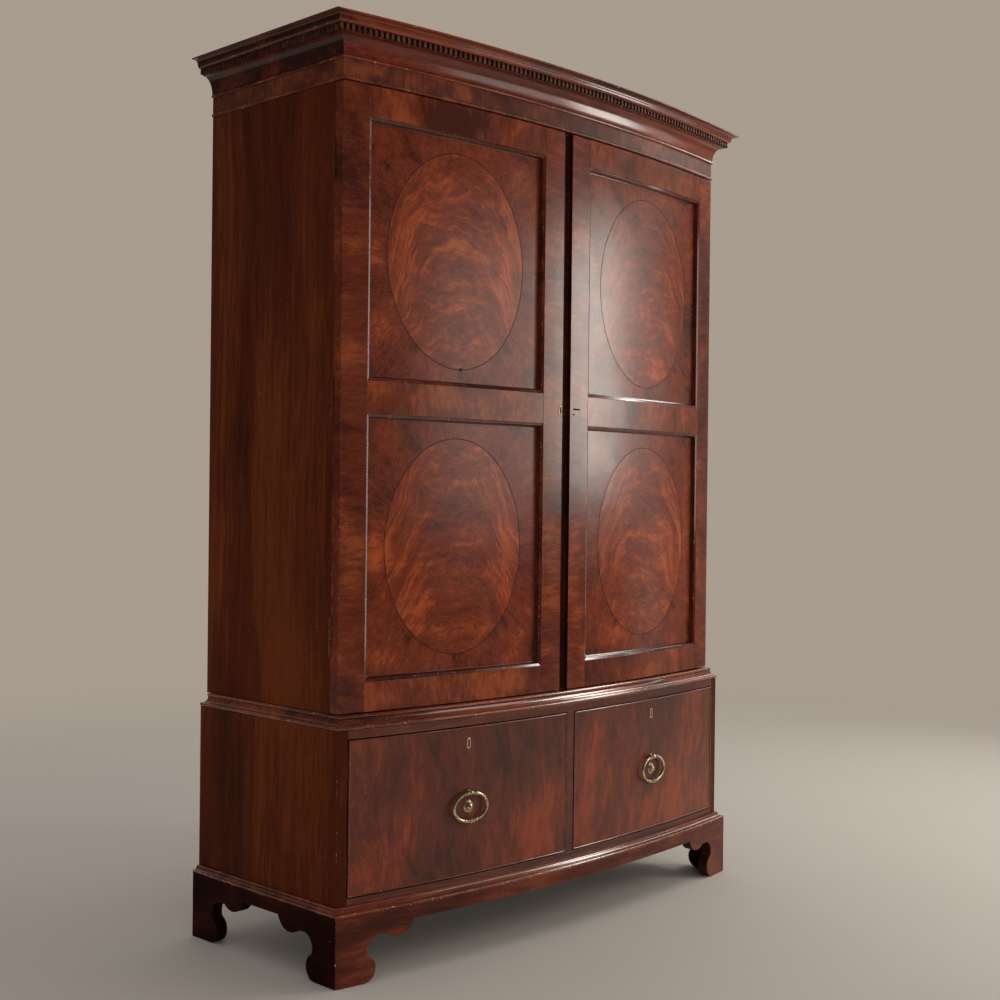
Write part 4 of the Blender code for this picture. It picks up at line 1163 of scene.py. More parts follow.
class Trees:
    """The Geometry Nodes trees, each made once."""

    @staticmethod
    def begin(
        name: str, start: str, numbers: Sequence[str], counts: Sequence[str], vectors: Sequence[str] = ()
    ) -> tuple[Sheet, Mapping[str, Socket], Node]:
        """Starts a tree that takes a start mesh, a material and values, and gives a shape.

        Args:
            name: The tree's name.
            start: What the start mesh is called.
            numbers: Names of the numbers.
            counts: Names of the whole numbers.
            vectors: Names of the vectors.

        Returns:
            The sheet, what comes in by name, and the output node.
        """
        inputs = {start: Kind.SHAPE, "Material": Kind.FINISH}
        for kind, names in ((Kind.NUMBER, numbers), (Kind.COUNT, counts), (Kind.VECTOR, vectors)):
            inputs |= dict.fromkeys(names, kind)
        return new_group(name, "GeometryNodeTree", inputs, {"Geometry": Kind.SHAPE})

    @staticmethod
    def circle(sheet: Sheet, steps: object, radius: object) -> Socket:
        """A round curve about the origin."""
        inputs = {"Resolution": steps, "Radius": radius}
        return sheet.out("GeometryNodeCurvePrimitiveCircle", inputs, mode="RADIUS")

    @staticmethod
    def keep(sheet: Sheet, shape: Socket, name: str, value: Socket, kind: str) -> Socket:
        """The shape with a value kept on each point under a name."""
        inputs = {"Geometry": shape, "Name": name, "Value": value}
        return sheet.out("GeometryNodeStoreNamedAttribute", inputs, data_type=kind, domain="POINT")

    @staticmethod
    def kept(sheet: Sheet, name: str, kind: str) -> Socket:
        """A value that is kept on the points under a name."""
        return sheet.out("GeometryNodeInputNamedAttribute", {"Name": name}, data_type=kind)

    @staticmethod
    def on_bow(sheet: Sheet, centre: Socket, radius: Socket, x: Socket) -> Socket:
        """The y at x of a bow, from its centre and radius."""
        square = sheet.minus(sheet.times(radius, radius), sheet.times(x, x))
        return sheet.minus(centre, sheet.math("SQRT", square))

    @staticmethod
    def skin(sheet: Sheet, profile: Socket, stations: Socket) -> tuple[Socket, ...]:
        """A sheet of quads with one row of the profile at each station.

        Args:
            sheet: The tree.
            profile: Geometry of the profile's points, offset in X and height in Z.
            stations: How many rows there are.

        Returns:
            The grid, the station of a point, its profile point's X and Z, and its wear value, which below
            zero is painted shade.
        """
        counts = sheet.add("GeometryNodeAttributeDomainSize", {0: profile}, component="MESH")
        size = counts.outputs["Point Count"]
        rows = sheet.plus(size, 1.0)
        grid = sheet.out("GeometryNodeMeshGrid", {"Vertices X": stations, "Vertices Y": rows})
        index = sheet.out("GeometryNodeInputIndex")
        station = sheet.math("FLOOR", sheet.math("DIVIDE", sheet.plus(index, 0.5), rows))
        spot = sheet.minus(index, sheet.times(station, rows))
        wrapped = sheet.math("FLOORED_MODULO", spot, size)
        inputs = {"Geometry": profile, "Value": sheet.out("GeometryNodeInputPosition"), "Index": wrapped}
        x, _, z = sheet.split(sheet.out("GeometryNodeSampleIndex", inputs, data_type="FLOAT_VECTOR"))
        inputs["Value"] = Trees.kept(sheet, "rub", "FLOAT")
        return grid, station, x, z, sheet.out("GeometryNodeSampleIndex", inputs, data_type="FLOAT")

    @staticmethod
    def close(sheet: Sheet, grid: Socket, position: Socket, rub: Socket, finish: Socket, end: Node) -> None:
        """Moves a sheet of quads into place, keeps its wear and painted shade values, and sews it up.

        Args:
            sheet: The tree.
            grid: The quads.
            position: Where each point goes.
            rub: How far each point is rubbed, or below zero how dark painted shade makes it.
            finish: The material.
            end: The output node.
        """
        moved = sheet.out("GeometryNodeSetPosition", {"Geometry": grid, "Position": position})
        rubbed = Trees.keep(sheet, moved, "rub", rub, "FLOAT")
        sewn = sheet.out("GeometryNodeMergeByDistance", {"Geometry": rubbed, "Distance": MERGE})
        Trees.finish(sheet, sewn, finish, end)

    @staticmethod
    def finish(sheet: Sheet, shape: Socket, finish: Socket, end: Node) -> None:
        """Ends a tree: real geometry with its material."""
        real = sheet.out("GeometryNodeRealizeInstances", {0: shape})
        sheet.fill(end, {0: sheet.out("GeometryNodeSetMaterial", {"Geometry": real, "Material": finish})})

    @classmethod
    @cache
    def moulding_run(cls) -> Tree:
        """A moulding round the case: left side, bow and right side, mitred at the corners.

        Returns:
            The shared tree.
        """
        numbers = ("Half Width", "Bow Radius", "Bow Centre", "Back", "Front Stretch")
        sheet, get, end = cls.begin("moulding_run", "Profile", numbers, ("Bow Steps", "Closed"))
        count = sheet.plus(get["Bow Steps"], 3.0)
        grid, station, offset, z, rub = cls.skin(sheet, get["Profile"], sheet.plus(count, get["Closed"]))
        stop = sheet.math("FLOORED_MODULO", station, count)
        half = sheet.plus(get["Half Width"], offset)
        radius = sheet.math("MULTIPLY_ADD", offset, get["Front Stretch"], get["Bow Radius"])
        share = sheet.math("DIVIDE", sheet.minus(stop, 1.0), get["Bow Steps"], clamp=True)
        x = sheet.times(sheet.math("MULTIPLY_ADD", share, 2.0, -1.0), half)
        in_front = cls.on_bow(sheet, get["Bow Centre"], radius, x)
        inset = sheet.times(sheet.math("MINIMUM", offset, 0.0), get["Closed"])
        at_back = sheet.plus(get["Back"], inset)
        first = sheet.math("LESS_THAN", stop, 0.5)
        last = sheet.math("GREATER_THAN", stop, sheet.plus(get["Bow Steps"], 1.5))
        y = sheet.between(sheet.math("MAXIMUM", first, last), in_front, at_back)
        cls.close(sheet, grid, sheet.join(x, y, z), rub, get["Material"], end)
        return sheet.tree

    @classmethod
    @cache
    def framed_ring(cls) -> Tree:
        """A moulding round a rectangle on the bow, its profile set in from the edge and out from the face.

        Returns:
            The shared tree.
        """
        numbers = ("Bow Radius", "Bow Centre", "Left", "Right", "Bottom", "Top")
        sheet, get, end = cls.begin("framed_ring", "Profile", numbers, ("Steps",))
        run = sheet.plus(get["Steps"], 1.0)
        count = sheet.times(run, 2.0)
        grid, station, inset, out, rub = cls.skin(sheet, get["Profile"], sheet.plus(count, 1.0))
        stop = sheet.math("FLOORED_MODULO", station, count)
        upper = sheet.math("GREATER_THAN", stop, sheet.plus(get["Steps"], 0.5))
        along = sheet.math("DIVIDE", sheet.math("FLOORED_MODULO", stop, run), get["Steps"])
        share = sheet.between(upper, along, sheet.minus(1.0, along))
        x = sheet.between(share, sheet.plus(get["Left"], inset), sheet.minus(get["Right"], inset))
        z = sheet.between(upper, sheet.plus(get["Bottom"], inset), sheet.minus(get["Top"], inset))
        y = cls.on_bow(sheet, get["Bow Centre"], sheet.plus(get["Bow Radius"], out), x)
        cls.close(sheet, grid, sheet.join(x, y, z), rub, get["Material"], end)
        return sheet.tree

    @classmethod
    @cache
    def tooth_row(cls) -> Tree:
        """Dentils along the bow and both sides: the start mesh is one tooth, its middle at the origin.

        Returns:
            The shared tree.
        """
        numbers = ("Half Width", "Bow Radius", "Bow Centre", "Corner", "Height")
        numbers += ("Reach", "Front Pitch", "Side Pitch", "Half Tooth")
        sheet, get, end = cls.begin("tooth_row", "Tooth", numbers, ("Front Count", "Side Count"))
        index = sheet.out("GeometryNodeInputIndex")
        along = sheet.plus(sheet.times(index, get["Front Pitch"]), get["Half Tooth"])
        angle = sheet.minus(sheet.math("DIVIDE", along, get["Bow Radius"]), get["Reach"])
        x = sheet.times(get["Bow Radius"], sheet.math("SINE", angle))
        y = sheet.minus(get["Bow Centre"], sheet.times(get["Bow Radius"], sheet.math("COSINE", angle)))
        runs = [(get["Front Count"], sheet.join(x, y, get["Height"]), sheet.join(0.0, 0.0, angle))]
        corner = sheet.plus(get["Corner"], get["Half Tooth"])
        deep = sheet.plus(sheet.times(index, get["Side Pitch"]), corner)
        for sign in (-1.0, 1.0):
            spot = sheet.join(sheet.times(get["Half Width"], sign), deep, get["Height"])
            runs.append((get["Side Count"], spot, (0.0, 0.0, sign * math.pi / 2)))
        whole = sheet.add("GeometryNodeJoinGeometry")
        for count, position, turn in runs:
            points = sheet.out("GeometryNodePoints", {"Count": count, "Position": position})
            inputs = {"Points": points, "Instance": get["Tooth"], "Rotation": turn}
            sheet.fill(whole, {0: sheet.out("GeometryNodeInstanceOnPoints", inputs)})
        cls.finish(sheet, whole.outputs[0], get["Material"], end)
        return sheet.tree

    @classmethod
    @cache
    def inlaid_line(cls) -> Tree:
        """A thin oval line let into a bowed panel. The start mesh isn't used.

        Returns:
            The shared tree.
        """
        numbers = ("Bow Radius", "Bow Centre", "Middle X", "Middle Z", "Width", "Height", "Line", "Proud")
        sheet, get, end = cls.begin("inlaid_line", "Start", numbers, ("Steps",))
        oval = cls.circle(sheet, get["Steps"], 0.5)
        across, up, _ = sheet.split(sheet.out("GeometryNodeInputPosition"))
        x = sheet.math("MULTIPLY_ADD", across, get["Width"], get["Middle X"])
        z = sheet.math("MULTIPLY_ADD", up, get["Height"], get["Middle Z"])
        y = cls.on_bow(sheet, get["Bow Centre"], get["Bow Radius"], x)
        bent = sheet.out("GeometryNodeSetPosition", {"Geometry": oval, "Position": sheet.join(x, y, z)})
        size = {"Width": get["Line"], "Height": get["Proud"]}
        section = sheet.out("GeometryNodeCurvePrimitiveQuadrilateral", size, mode="RECTANGLE")
        cls.finish(sheet, sheet.out("GeometryNodeCurveToMesh", {0: bent, 1: section}), get["Material"], end)
        return sheet.tree

    @classmethod
    @cache
    def beaded_ring(cls) -> Tree:
        """A cast oval ring with beads: each start point is a bead's place along it, thickness and length.

        Returns:
            The shared tree.
        """
        sheet, get, end = cls.begin("beaded_ring", "Beads", ("Width", "Height", "Wire"), ("Steps",))
        oval = cls.circle(sheet, get["Steps"], 0.5)
        up, across, _ = sheet.split(sheet.out("GeometryNodeInputPosition"))
        spot = sheet.join(sheet.times(across, get["Width"]), 0.0, sheet.times(up, get["Height"]))
        path = sheet.out("GeometryNodeSetPosition", {"Geometry": oval, "Position": spot})
        wire = sheet.out("GeometryNodeCurveToMesh", {0: path, 1: cls.circle(sheet, 16, get["Wire"])})
        share, thick, length = sheet.split(sheet.out("GeometryNodeInputPosition"))
        sized = cls.keep(sheet, get["Beads"], "size", sheet.join(thick, thick, length), "FLOAT_VECTOR")
        inputs = {"Curves": path, "Factor": share}
        along = sheet.add("GeometryNodeSampleCurve", inputs, mode="FACTOR", data_type="FLOAT").outputs
        turn = sheet.out("FunctionNodeAlignRotationToVector", {"Vector": along["Tangent"]}, axis="Z")
        aligned = cls.keep(sheet, sized, "turn", turn, "QUATERNION")
        set_on = sheet.out("GeometryNodeSetPosition", {"Geometry": aligned, "Position": along["Position"]})
        bead = sheet.out("GeometryNodeMeshUVSphere", {"Segments": 16, "Rings": 10, "Radius": 1.0})
        inputs = {"Points": set_on, "Instance": bead}
        inputs |= {"Rotation": cls.kept(sheet, "turn", "QUATERNION")}
        inputs |= {"Scale": cls.kept(sheet, "size", "FLOAT_VECTOR")}
        whole = sheet.add("GeometryNodeJoinGeometry")
        for part in (wire, sheet.out("GeometryNodeInstanceOnPoints", inputs)):
            sheet.fill(whole, {0: part})
        cls.finish(sheet, whole.outputs[0], get["Material"], end)
        return sheet.tree

    @classmethod
    @cache
    def set_heads(cls) -> Tree:
        """A row of small heads, all facing one way: the start mesh is one head.

        Returns:
            The shared tree.
        """
        sheet, get, end = cls.begin("set_heads", "Head", (), ("Count",), ("Upwards", "Origin", "Turn"))
        index = sheet.out("GeometryNodeInputIndex")
        up = sheet.vector("MULTIPLY", get["Upwards"], sheet.join(index, index, index))
        spot = sheet.vector("ADD", get["Origin"], up)
        points = sheet.out("GeometryNodePoints", {"Count": get["Count"], "Position": spot})
        inputs = {"Points": points, "Instance": get["Head"], "Rotation": get["Turn"]}
        cls.finish(sheet, sheet.out("GeometryNodeInstanceOnPoints", inputs), get["Material"], end)
        return sheet.tree


def eased(points: Plan, ease: float) -> tuple[list[Triple], list[float]]:
    """A closed section with its corners taken off, and how far each point is rubbed or, below zero, darkened
    with painted shade.

    Args:
        points: The section's corners in order, as (offset, height).
        ease: How much is taken off a corner.

    Returns:
        The points for the trees, and their wear and painted shade values.
    """
    area = sum(a[0] * b[1] - b[0] * a[1] for a, b in zip(points, points[1:] + points[:1]))
    spots: list[Triple] = []
    rub: list[float] = []
    for i, here in enumerate(points):
        corner = Vector(here)
        back = Vector(points[i - 1]) - corner
        ahead = Vector(points[(i + 1) % len(points)]) - corner
        turn = -math.copysign(1.0, area) * (-back).angle_signed(ahead)
        room = min(back.length, ahead.length)
        # Below zero the value is painted shade: hollow corners and curves are darkened, bulging ones are
        # rubbed.
        if abs(turn) > ARRIS_ANGLE and room > 3 * ease:
            ring = ((back, 2.6, 0.0), (back, 1.0, 1.0), (ahead, 1.0, 1.0), (ahead, 2.6, 0.0))
            for way, far, share in ring:
                spot = corner + way.normalized() * min(far * ease, 0.45 * way.length)
                spots.append((spot.x, 0.0, spot.y))
                rub.append(share if turn > 0 else -share)
        else:
            spots.append((here[0], 0.0, here[1]))
            rub.append(min(1.0, max(-1.0, turn / (back.length + ahead.length) * 2 / RUB_AND_SHADE_CURVE)))
    return spots, rub


def bow_values(finish: Finish, stage: Stage = Stage.CUPBOARD, out: float = 0.0) -> dict[str, object]:
    """The tree inputs that say where a stage's bow is."""
    radius = BOW.radius + stage.front + out
    return {"Bow Radius": radius, "Bow Centre": BOW.centre, "Material": finish.material()}


def moulding(
    name: str, section: Plan, finish: Finish, stage: Stage, closed: bool, stretch: float = 1.0,
    shade_band: Pair = (0.0, 0.0),
) -> Mesh:
    """A moulding run round the case.

    Args:
        name: The mesh's name.
        section: Its section, as (offset, height).
        finish: Its finish.
        stage: The stage of the case that its offsets start from.
        closed: Whether it also runs along the back.
        stretch: How much deeper its section is along the front than at the sides.
        shade_band: The heights between which painted shade darkens it.

    Returns:
        A closed mesh.
    """
    points, rub = eased(section, EASE)
    # Painted shade in the band of heights given.
    rub = [-COVE_SHADE if shade_band[0] < point[2] < shade_band[1] else share for point, share in zip(points, rub)]
    values = bow_values(finish, stage) | {"Half Width": BOW.half_width + stage.side, "Back": BOW.back}
    values |= {"Bow Steps": BOW_STEPS, "Closed": int(closed), "Front Stretch": stretch}
    return grown(name, Trees.moulding_run(), point_mesh(f"{name}_section", points, rub), values)


def ring_on_bow(name: str, section: Plan, finish: Finish, stage: Stage, box: Four) -> Mesh:
    """A moulding round a rectangle on the bow.

    Args:
        name: The mesh's name.
        section: Its section, as (distance in from the edge, distance out from the face).
        finish: Its finish.
        stage: The stage of the case.
        box: Left, right, bottom and top of the rectangle.

    Returns:
        A closed mesh.
    """
    values = bow_values(finish, stage) | dict(zip(("Left", "Right", "Bottom", "Top"), box))
    values["Steps"] = max(8, round((box[1] - box[0]) / BOW.step))
    return grown(name, Trees.framed_ring(), point_mesh(f"{name}_section", *eased(section, EASE / 2)), values)


def on_face(x: float, z: float, out: float = 0.0, stage: Stage = Stage.CUPBOARD) -> Matrix:
    """Where a small fitting sits on the bow.

    Args:
        x: Its distance from the middle.
        z: Its height.
        out: How far it stands out from the face.
        stage: The stage of the case.

    Returns:
        Its matrix, with -Y pointing out of the face.
    """
    turn = BOW.slope(x, stage)
    radius = BOW.radius + stage.front + out
    spot = Vector((radius * math.sin(turn), BOW.centre - radius * math.cos(turn), z))
    return Matrix.Translation(spot) @ Matrix.Rotation(turn, 4, "Z")


def oblong(width: float, height: float, steps: int = 10) -> Plan:
    """Outline of an upright or level oblong with round ends.

    Args:
        width: Its width.
        height: Its height.
        steps: How many steps a quarter turn has.

    Returns:
        The points in order.
    """
    radius = min(width, height) / 2
    across, up = width / 2 - radius, height / 2 - radius
    points = []
    for start, sign_x, sign_z in ((0, 1, 1), (90, -1, 1), (180, -1, -1), (270, 1, -1)):
        points += arc((sign_x * across, sign_z * up), (radius, radius), start, start + 90, steps)
    return points


def plate(outline: Plan, low: float, high: float, rounding: float = 0.0) -> Shape:
    """A plate standing on a face, growing towards -Y.

    Args:
        outline: Its outline in X and Z.
        low: How far out its back is.
        high: How far out its front is.
        rounding: Width of the rounding.

    Returns:
        The closed shape.
    """
    shape = bmesh.new()
    face = shape.faces.new([shape.verts.new((x, -low, z)) for x, z in outline])
    raised = bmesh.ops.extrude_face_region(shape, geom=[face])["geom"]
    verts = [item for item in raised if isinstance(item, bmesh.types.BMVert)]
    bmesh.ops.translate(shape, verts=verts, vec=(0.0, low - high, 0.0))
    bmesh.ops.remove_doubles(shape, verts=shape.verts, dist=MERGE)
    bmesh.ops.recalc_face_normals(shape, faces=shape.faces)
    if rounding:
        rounded(shape, rounding)
    return shape


def placed(shape: Shape, matrix: Matrix) -> Shape:
    """A shape moved into the part's frame."""
    shape.transform(matrix)
    return shape


@dataclass
class Cornice:
    """Frieze, dentils and the moulded cornice over the cupboard."""

    low: float = 1.9703
    neck: Pair = (0.0035, 0.004)
    frieze_depth: float = 0.020
    frieze_top: float = 2.0897
    bead_z: float = 2.017
    bead: Triple = (0.0025, 0.002, 0.003)
    cove_z: float = 2.023
    cove: Pair = (0.0235, 0.0405)
    # Painted shade in the upper cove: from this far above the cove's centre to this far under the dentils.
    cove_shade: Pair = (0.026, 0.001)
    lip: Pair = (0.029, 0.002)
    dentil_z: Pair = (2.0655, 2.0780)
    dentil_back: float = 0.0260
    dentil_floor: float = 0.0293
    dentil_face: float = 0.0368
    tooth: float = 0.0072
    pitch: float = 0.0145
    crown: float = 0.008
    tip: float = 0.061
    fillet: float = 0.0035
    top: float = 2.100

    def frieze_section(self) -> Plan:
        """Section of the frieze with its neck bead.

        Returns:
            Its points in order.
        """
        proud, half = self.neck
        bead = arc((0.0, self.low + half), (proud, half), -90, 90, 12)
        back = [(-self.frieze_depth, self.frieze_top), (-self.frieze_depth, self.low)]
        return bead + [(0.0, self.frieze_top)] + back

    def crown_section(self) -> Plan:
        """Section of the cornice: bead, hollow, dentil bed and crown.

        Returns:
            Its points in order.
        """
        across, deep, half = self.bead
        bead = arc((across, self.bead_z + half), (deep, half), -90, 60, 8)
        hollow = arc((self.dentil_back, self.cove_z), self.cove, 180, 90, 20)
        out, thick = self.lip
        lip = [(out, self.dentil_z[0] - thick), (out, self.dentil_z[0] - FIT_GAP)]
        foot = self.dentil_z[1] + FIT_GAP
        bed = [(self.dentil_back, self.dentil_z[0] - FIT_GAP), (self.dentil_back, foot)]
        crest = self.top - self.fillet
        rise = (crest - foot) / 2
        swell = arc((self.dentil_face, foot + rise), (self.crown, rise), -90, 0, 10)
        curl = arc((self.dentil_face + 2 * self.crown, foot + rise), (self.crown, rise), 180, 90, 10)[1:]
        back = [(self.tip, crest), (self.tip, self.top), (FIT_GAP, self.top), (FIT_GAP, self.bead_z)]
        return bead + hollow + lip + bed + swell + curl + back

    def teeth(self) -> Mesh:
        """All the dentils, set out whole along the bow and both sides.

        Returns:
            Their mesh.
        """
        height = self.dentil_z[1] - self.dentil_z[0]
        deep = self.dentil_face - self.dentil_floor + 0.0005
        wide = self.tooth / 2
        outline = [(-wide, 0.0), (wide, 0.0), (wide, deep), (-wide, deep)]
        tooth = plan_board("dentil", outline, -height / 2, height / 2, 0.0004)
        half, radius = BOW.half_width + self.dentil_face, BOW.radius + self.dentil_face
        reach = math.asin(half / radius)
        corner = BOW.y(half, self.dentil_face)
        front, side = 2 * reach * radius - self.tooth, BOW.back - corner - self.tooth
        front_gaps, side_gaps = round(front / self.pitch), round(side / self.pitch)
        values = bow_values(DENTIL_WOOD, out=self.dentil_face)
        values |= {"Half Width": half, "Corner": corner, "Reach": reach, "Height": sum(self.dentil_z) / 2}
        values |= {"Front Count": front_gaps + 1, "Side Count": side_gaps + 1, "Half Tooth": wide}
        values |= {"Front Pitch": front / front_gaps, "Side Pitch": side / side_gaps}
        return grown("dentils", Trees.tooth_row(), tooth, values)

    def build(self) -> None:
        """Makes the cornice and dresses it."""
        section = self.frieze_section()
        frieze = moulding("cornice_frieze_veneered", section, FRIEZE_BANDING, Stage.CUPBOARD, True)
        place("cornice_frieze_veneered", frieze, FRIEZE_BANDING, "case", "cornice_frieze")
        # Painted shade on the upper cove, under the dentils.
        shade_band = (self.cove_z + self.cove_shade[0], self.dentil_z[0] - self.cove_shade[1])
        crown = moulding("cornice_crown", self.crown_section(), MOULDING, Stage.CUPBOARD, False, shade_band=shade_band)
        place("cornice_crown", crown, MOULDING, "case", "cornice_moulding")
        (low, high), back, floor = self.dentil_z, self.dentil_back + FIT_GAP, self.dentil_floor
        section = [(back, low), (floor, low), (floor, high), (back, high)]
        bed = moulding("dentil_bed", section, DENTIL_WOOD, Stage.CUPBOARD, False)
        place("dentils", joined("dentils_whole", self.teeth(), bed), DENTIL_WOOD, "case", "dentil_course")
        dress(LINING_ACROSS, "cornice_dust_board")


@dataclass
class Cupboard:
    """The upper case behind the doors, with its hanging rail."""

    inner: float = 0.658
    front: float = -0.027
    low: float = 0.5813
    high: float = 1.970
    reach: float = 0.6577
    back_front: float = 0.293
    rail_radius: float = 0.0125
    rail_flange: Pair = (0.030, 0.008)
    rail_z: float = 1.863

    def build(self) -> None:
        """Makes the sides and the rail, and dresses the linings."""
        for side in Side:
            low, high = side.across(self.inner, BOW.half_width)
            outline = BOW.to_back(low, high, self.front, BOW.back, Stage.CUPBOARD)
            name = f"cupboard_side_{side.word}"
            place(f"{name}_board", plan_board(name, outline, self.low, self.high), CASE_SIDE, "case", name)
        self.rail()
        dress(LINING_ACROSS, "cupboard_top", "cupboard_floor")
        planks = planked("cupboard_back_planks", self.reach, self.back_front, self.low, self.high)
        place("cupboard_back_planks", planks, LINING_UPRIGHT, "case", "cupboard_back")

    def rail(self) -> None:
        """The brass hanging rail with its turned flanges."""
        width, thick = self.rail_flange
        half = [(0.0, -self.reach), (width - 0.001, -self.reach), (width, 0.001 - self.reach)]
        half += [(width, thick * 0.6 - self.reach)]
        half += [(width - 0.004, thick - self.reach), (self.rail_radius + 0.002, thick - self.reach)]
        half += [(self.rail_radius, thick + 0.002 - self.reach)]
        profile = half + [(radius, -height) for radius, height in reversed(half)]
        y = (BOW.y(BOW.half_width, self.front) + self.back_front) / 2
        matrix = Matrix.Translation((0.0, y, self.rail_z)) @ Matrix.Rotation(math.pi / 2, 4, "Y")
        rail = finished_mesh("hanging_rail", turned(profile, matrix))
        place("hanging_rail_turned", rail, BRASS, "case", "hanging_rail")


def planked(
    name: str, reach: float, front: float, low: float, high: float, wide: float = 0.11, cut: float = 0.0018
) -> Mesh:
    """A back of upright planks with a V cut at each joint.

    Args:
        name: The mesh's name.
        reach: Half its width.
        front: The y of its inner face.
        low: Height of its lower edge.
        high: Height of its upper edge.
        wide: About how wide a plank is.
        cut: How deep a V is.

    Returns:
        A closed mesh.
    """
    count = round(2 * reach / wide)
    outline = [(-reach, front), (reach, front), (reach, BOW.back)]
    for i in range(count - 1, 0, -1):
        x = -reach + 2 * reach * i / count
        outline += [(x + cut, BOW.back), (x, BOW.back - cut), (x - cut, BOW.back)]
    return plan_board(name, outline + [(-reach, BOW.back)], low, high, 0.0003)


PANEL_TONE_AND_LIGHT_CLOUDS = {
    (Side.LEFT, 0): (
        (-0.57, 0.93, 0.05, 0.10, 0.42), (-0.55, 0.70, 0.09, 0.07, 0.34), (-0.36, 1.02, 0.12, 0.07, -0.16),
        (-0.20, 0.92, 0.035, 0.16, 0.22), (-0.47, 0.80, 0.06, 0.10, 0.18), (-0.14, 0.70, 0.05, 0.06, 0.18),
    ),
    (Side.LEFT, 1): (
        (-0.585, 1.60, 0.04, 0.06, 0.34), (-0.56, 1.42, 0.08, 0.07, 0.20), (-0.17, 1.82, 0.07, 0.06, 0.20),
        # The faint lighter cloud in the middle of this oval, at x -0.37, is painted sheen.
        (-0.37, 1.66, 0.12, 0.12, 0.08), (-0.20, 1.62, 0.035, 0.17, 0.22), (-0.49, 1.56, 0.035, 0.14, 0.16),
        (-0.55, 1.84, 0.07, 0.05, -0.12),
    ),
    (Side.RIGHT, 0): (
        (0.56, 0.92, 0.06, 0.16, 0.20), (0.20, 0.71, 0.10, 0.06, 0.30), (0.36, 1.03, 0.12, 0.06, -0.12),
        (0.25, 0.92, 0.04, 0.14, 0.18),
    ),
    (Side.RIGHT, 1): (
        # The darker cloud at the right of this panel, at x 0.57, is painted shade.
        (0.57, 1.50, 0.08, 0.25, -0.20), (0.48, 1.62, 0.04, 0.16, 0.10), (0.34, 1.70, 0.12, 0.06, -0.12),
    ),
}


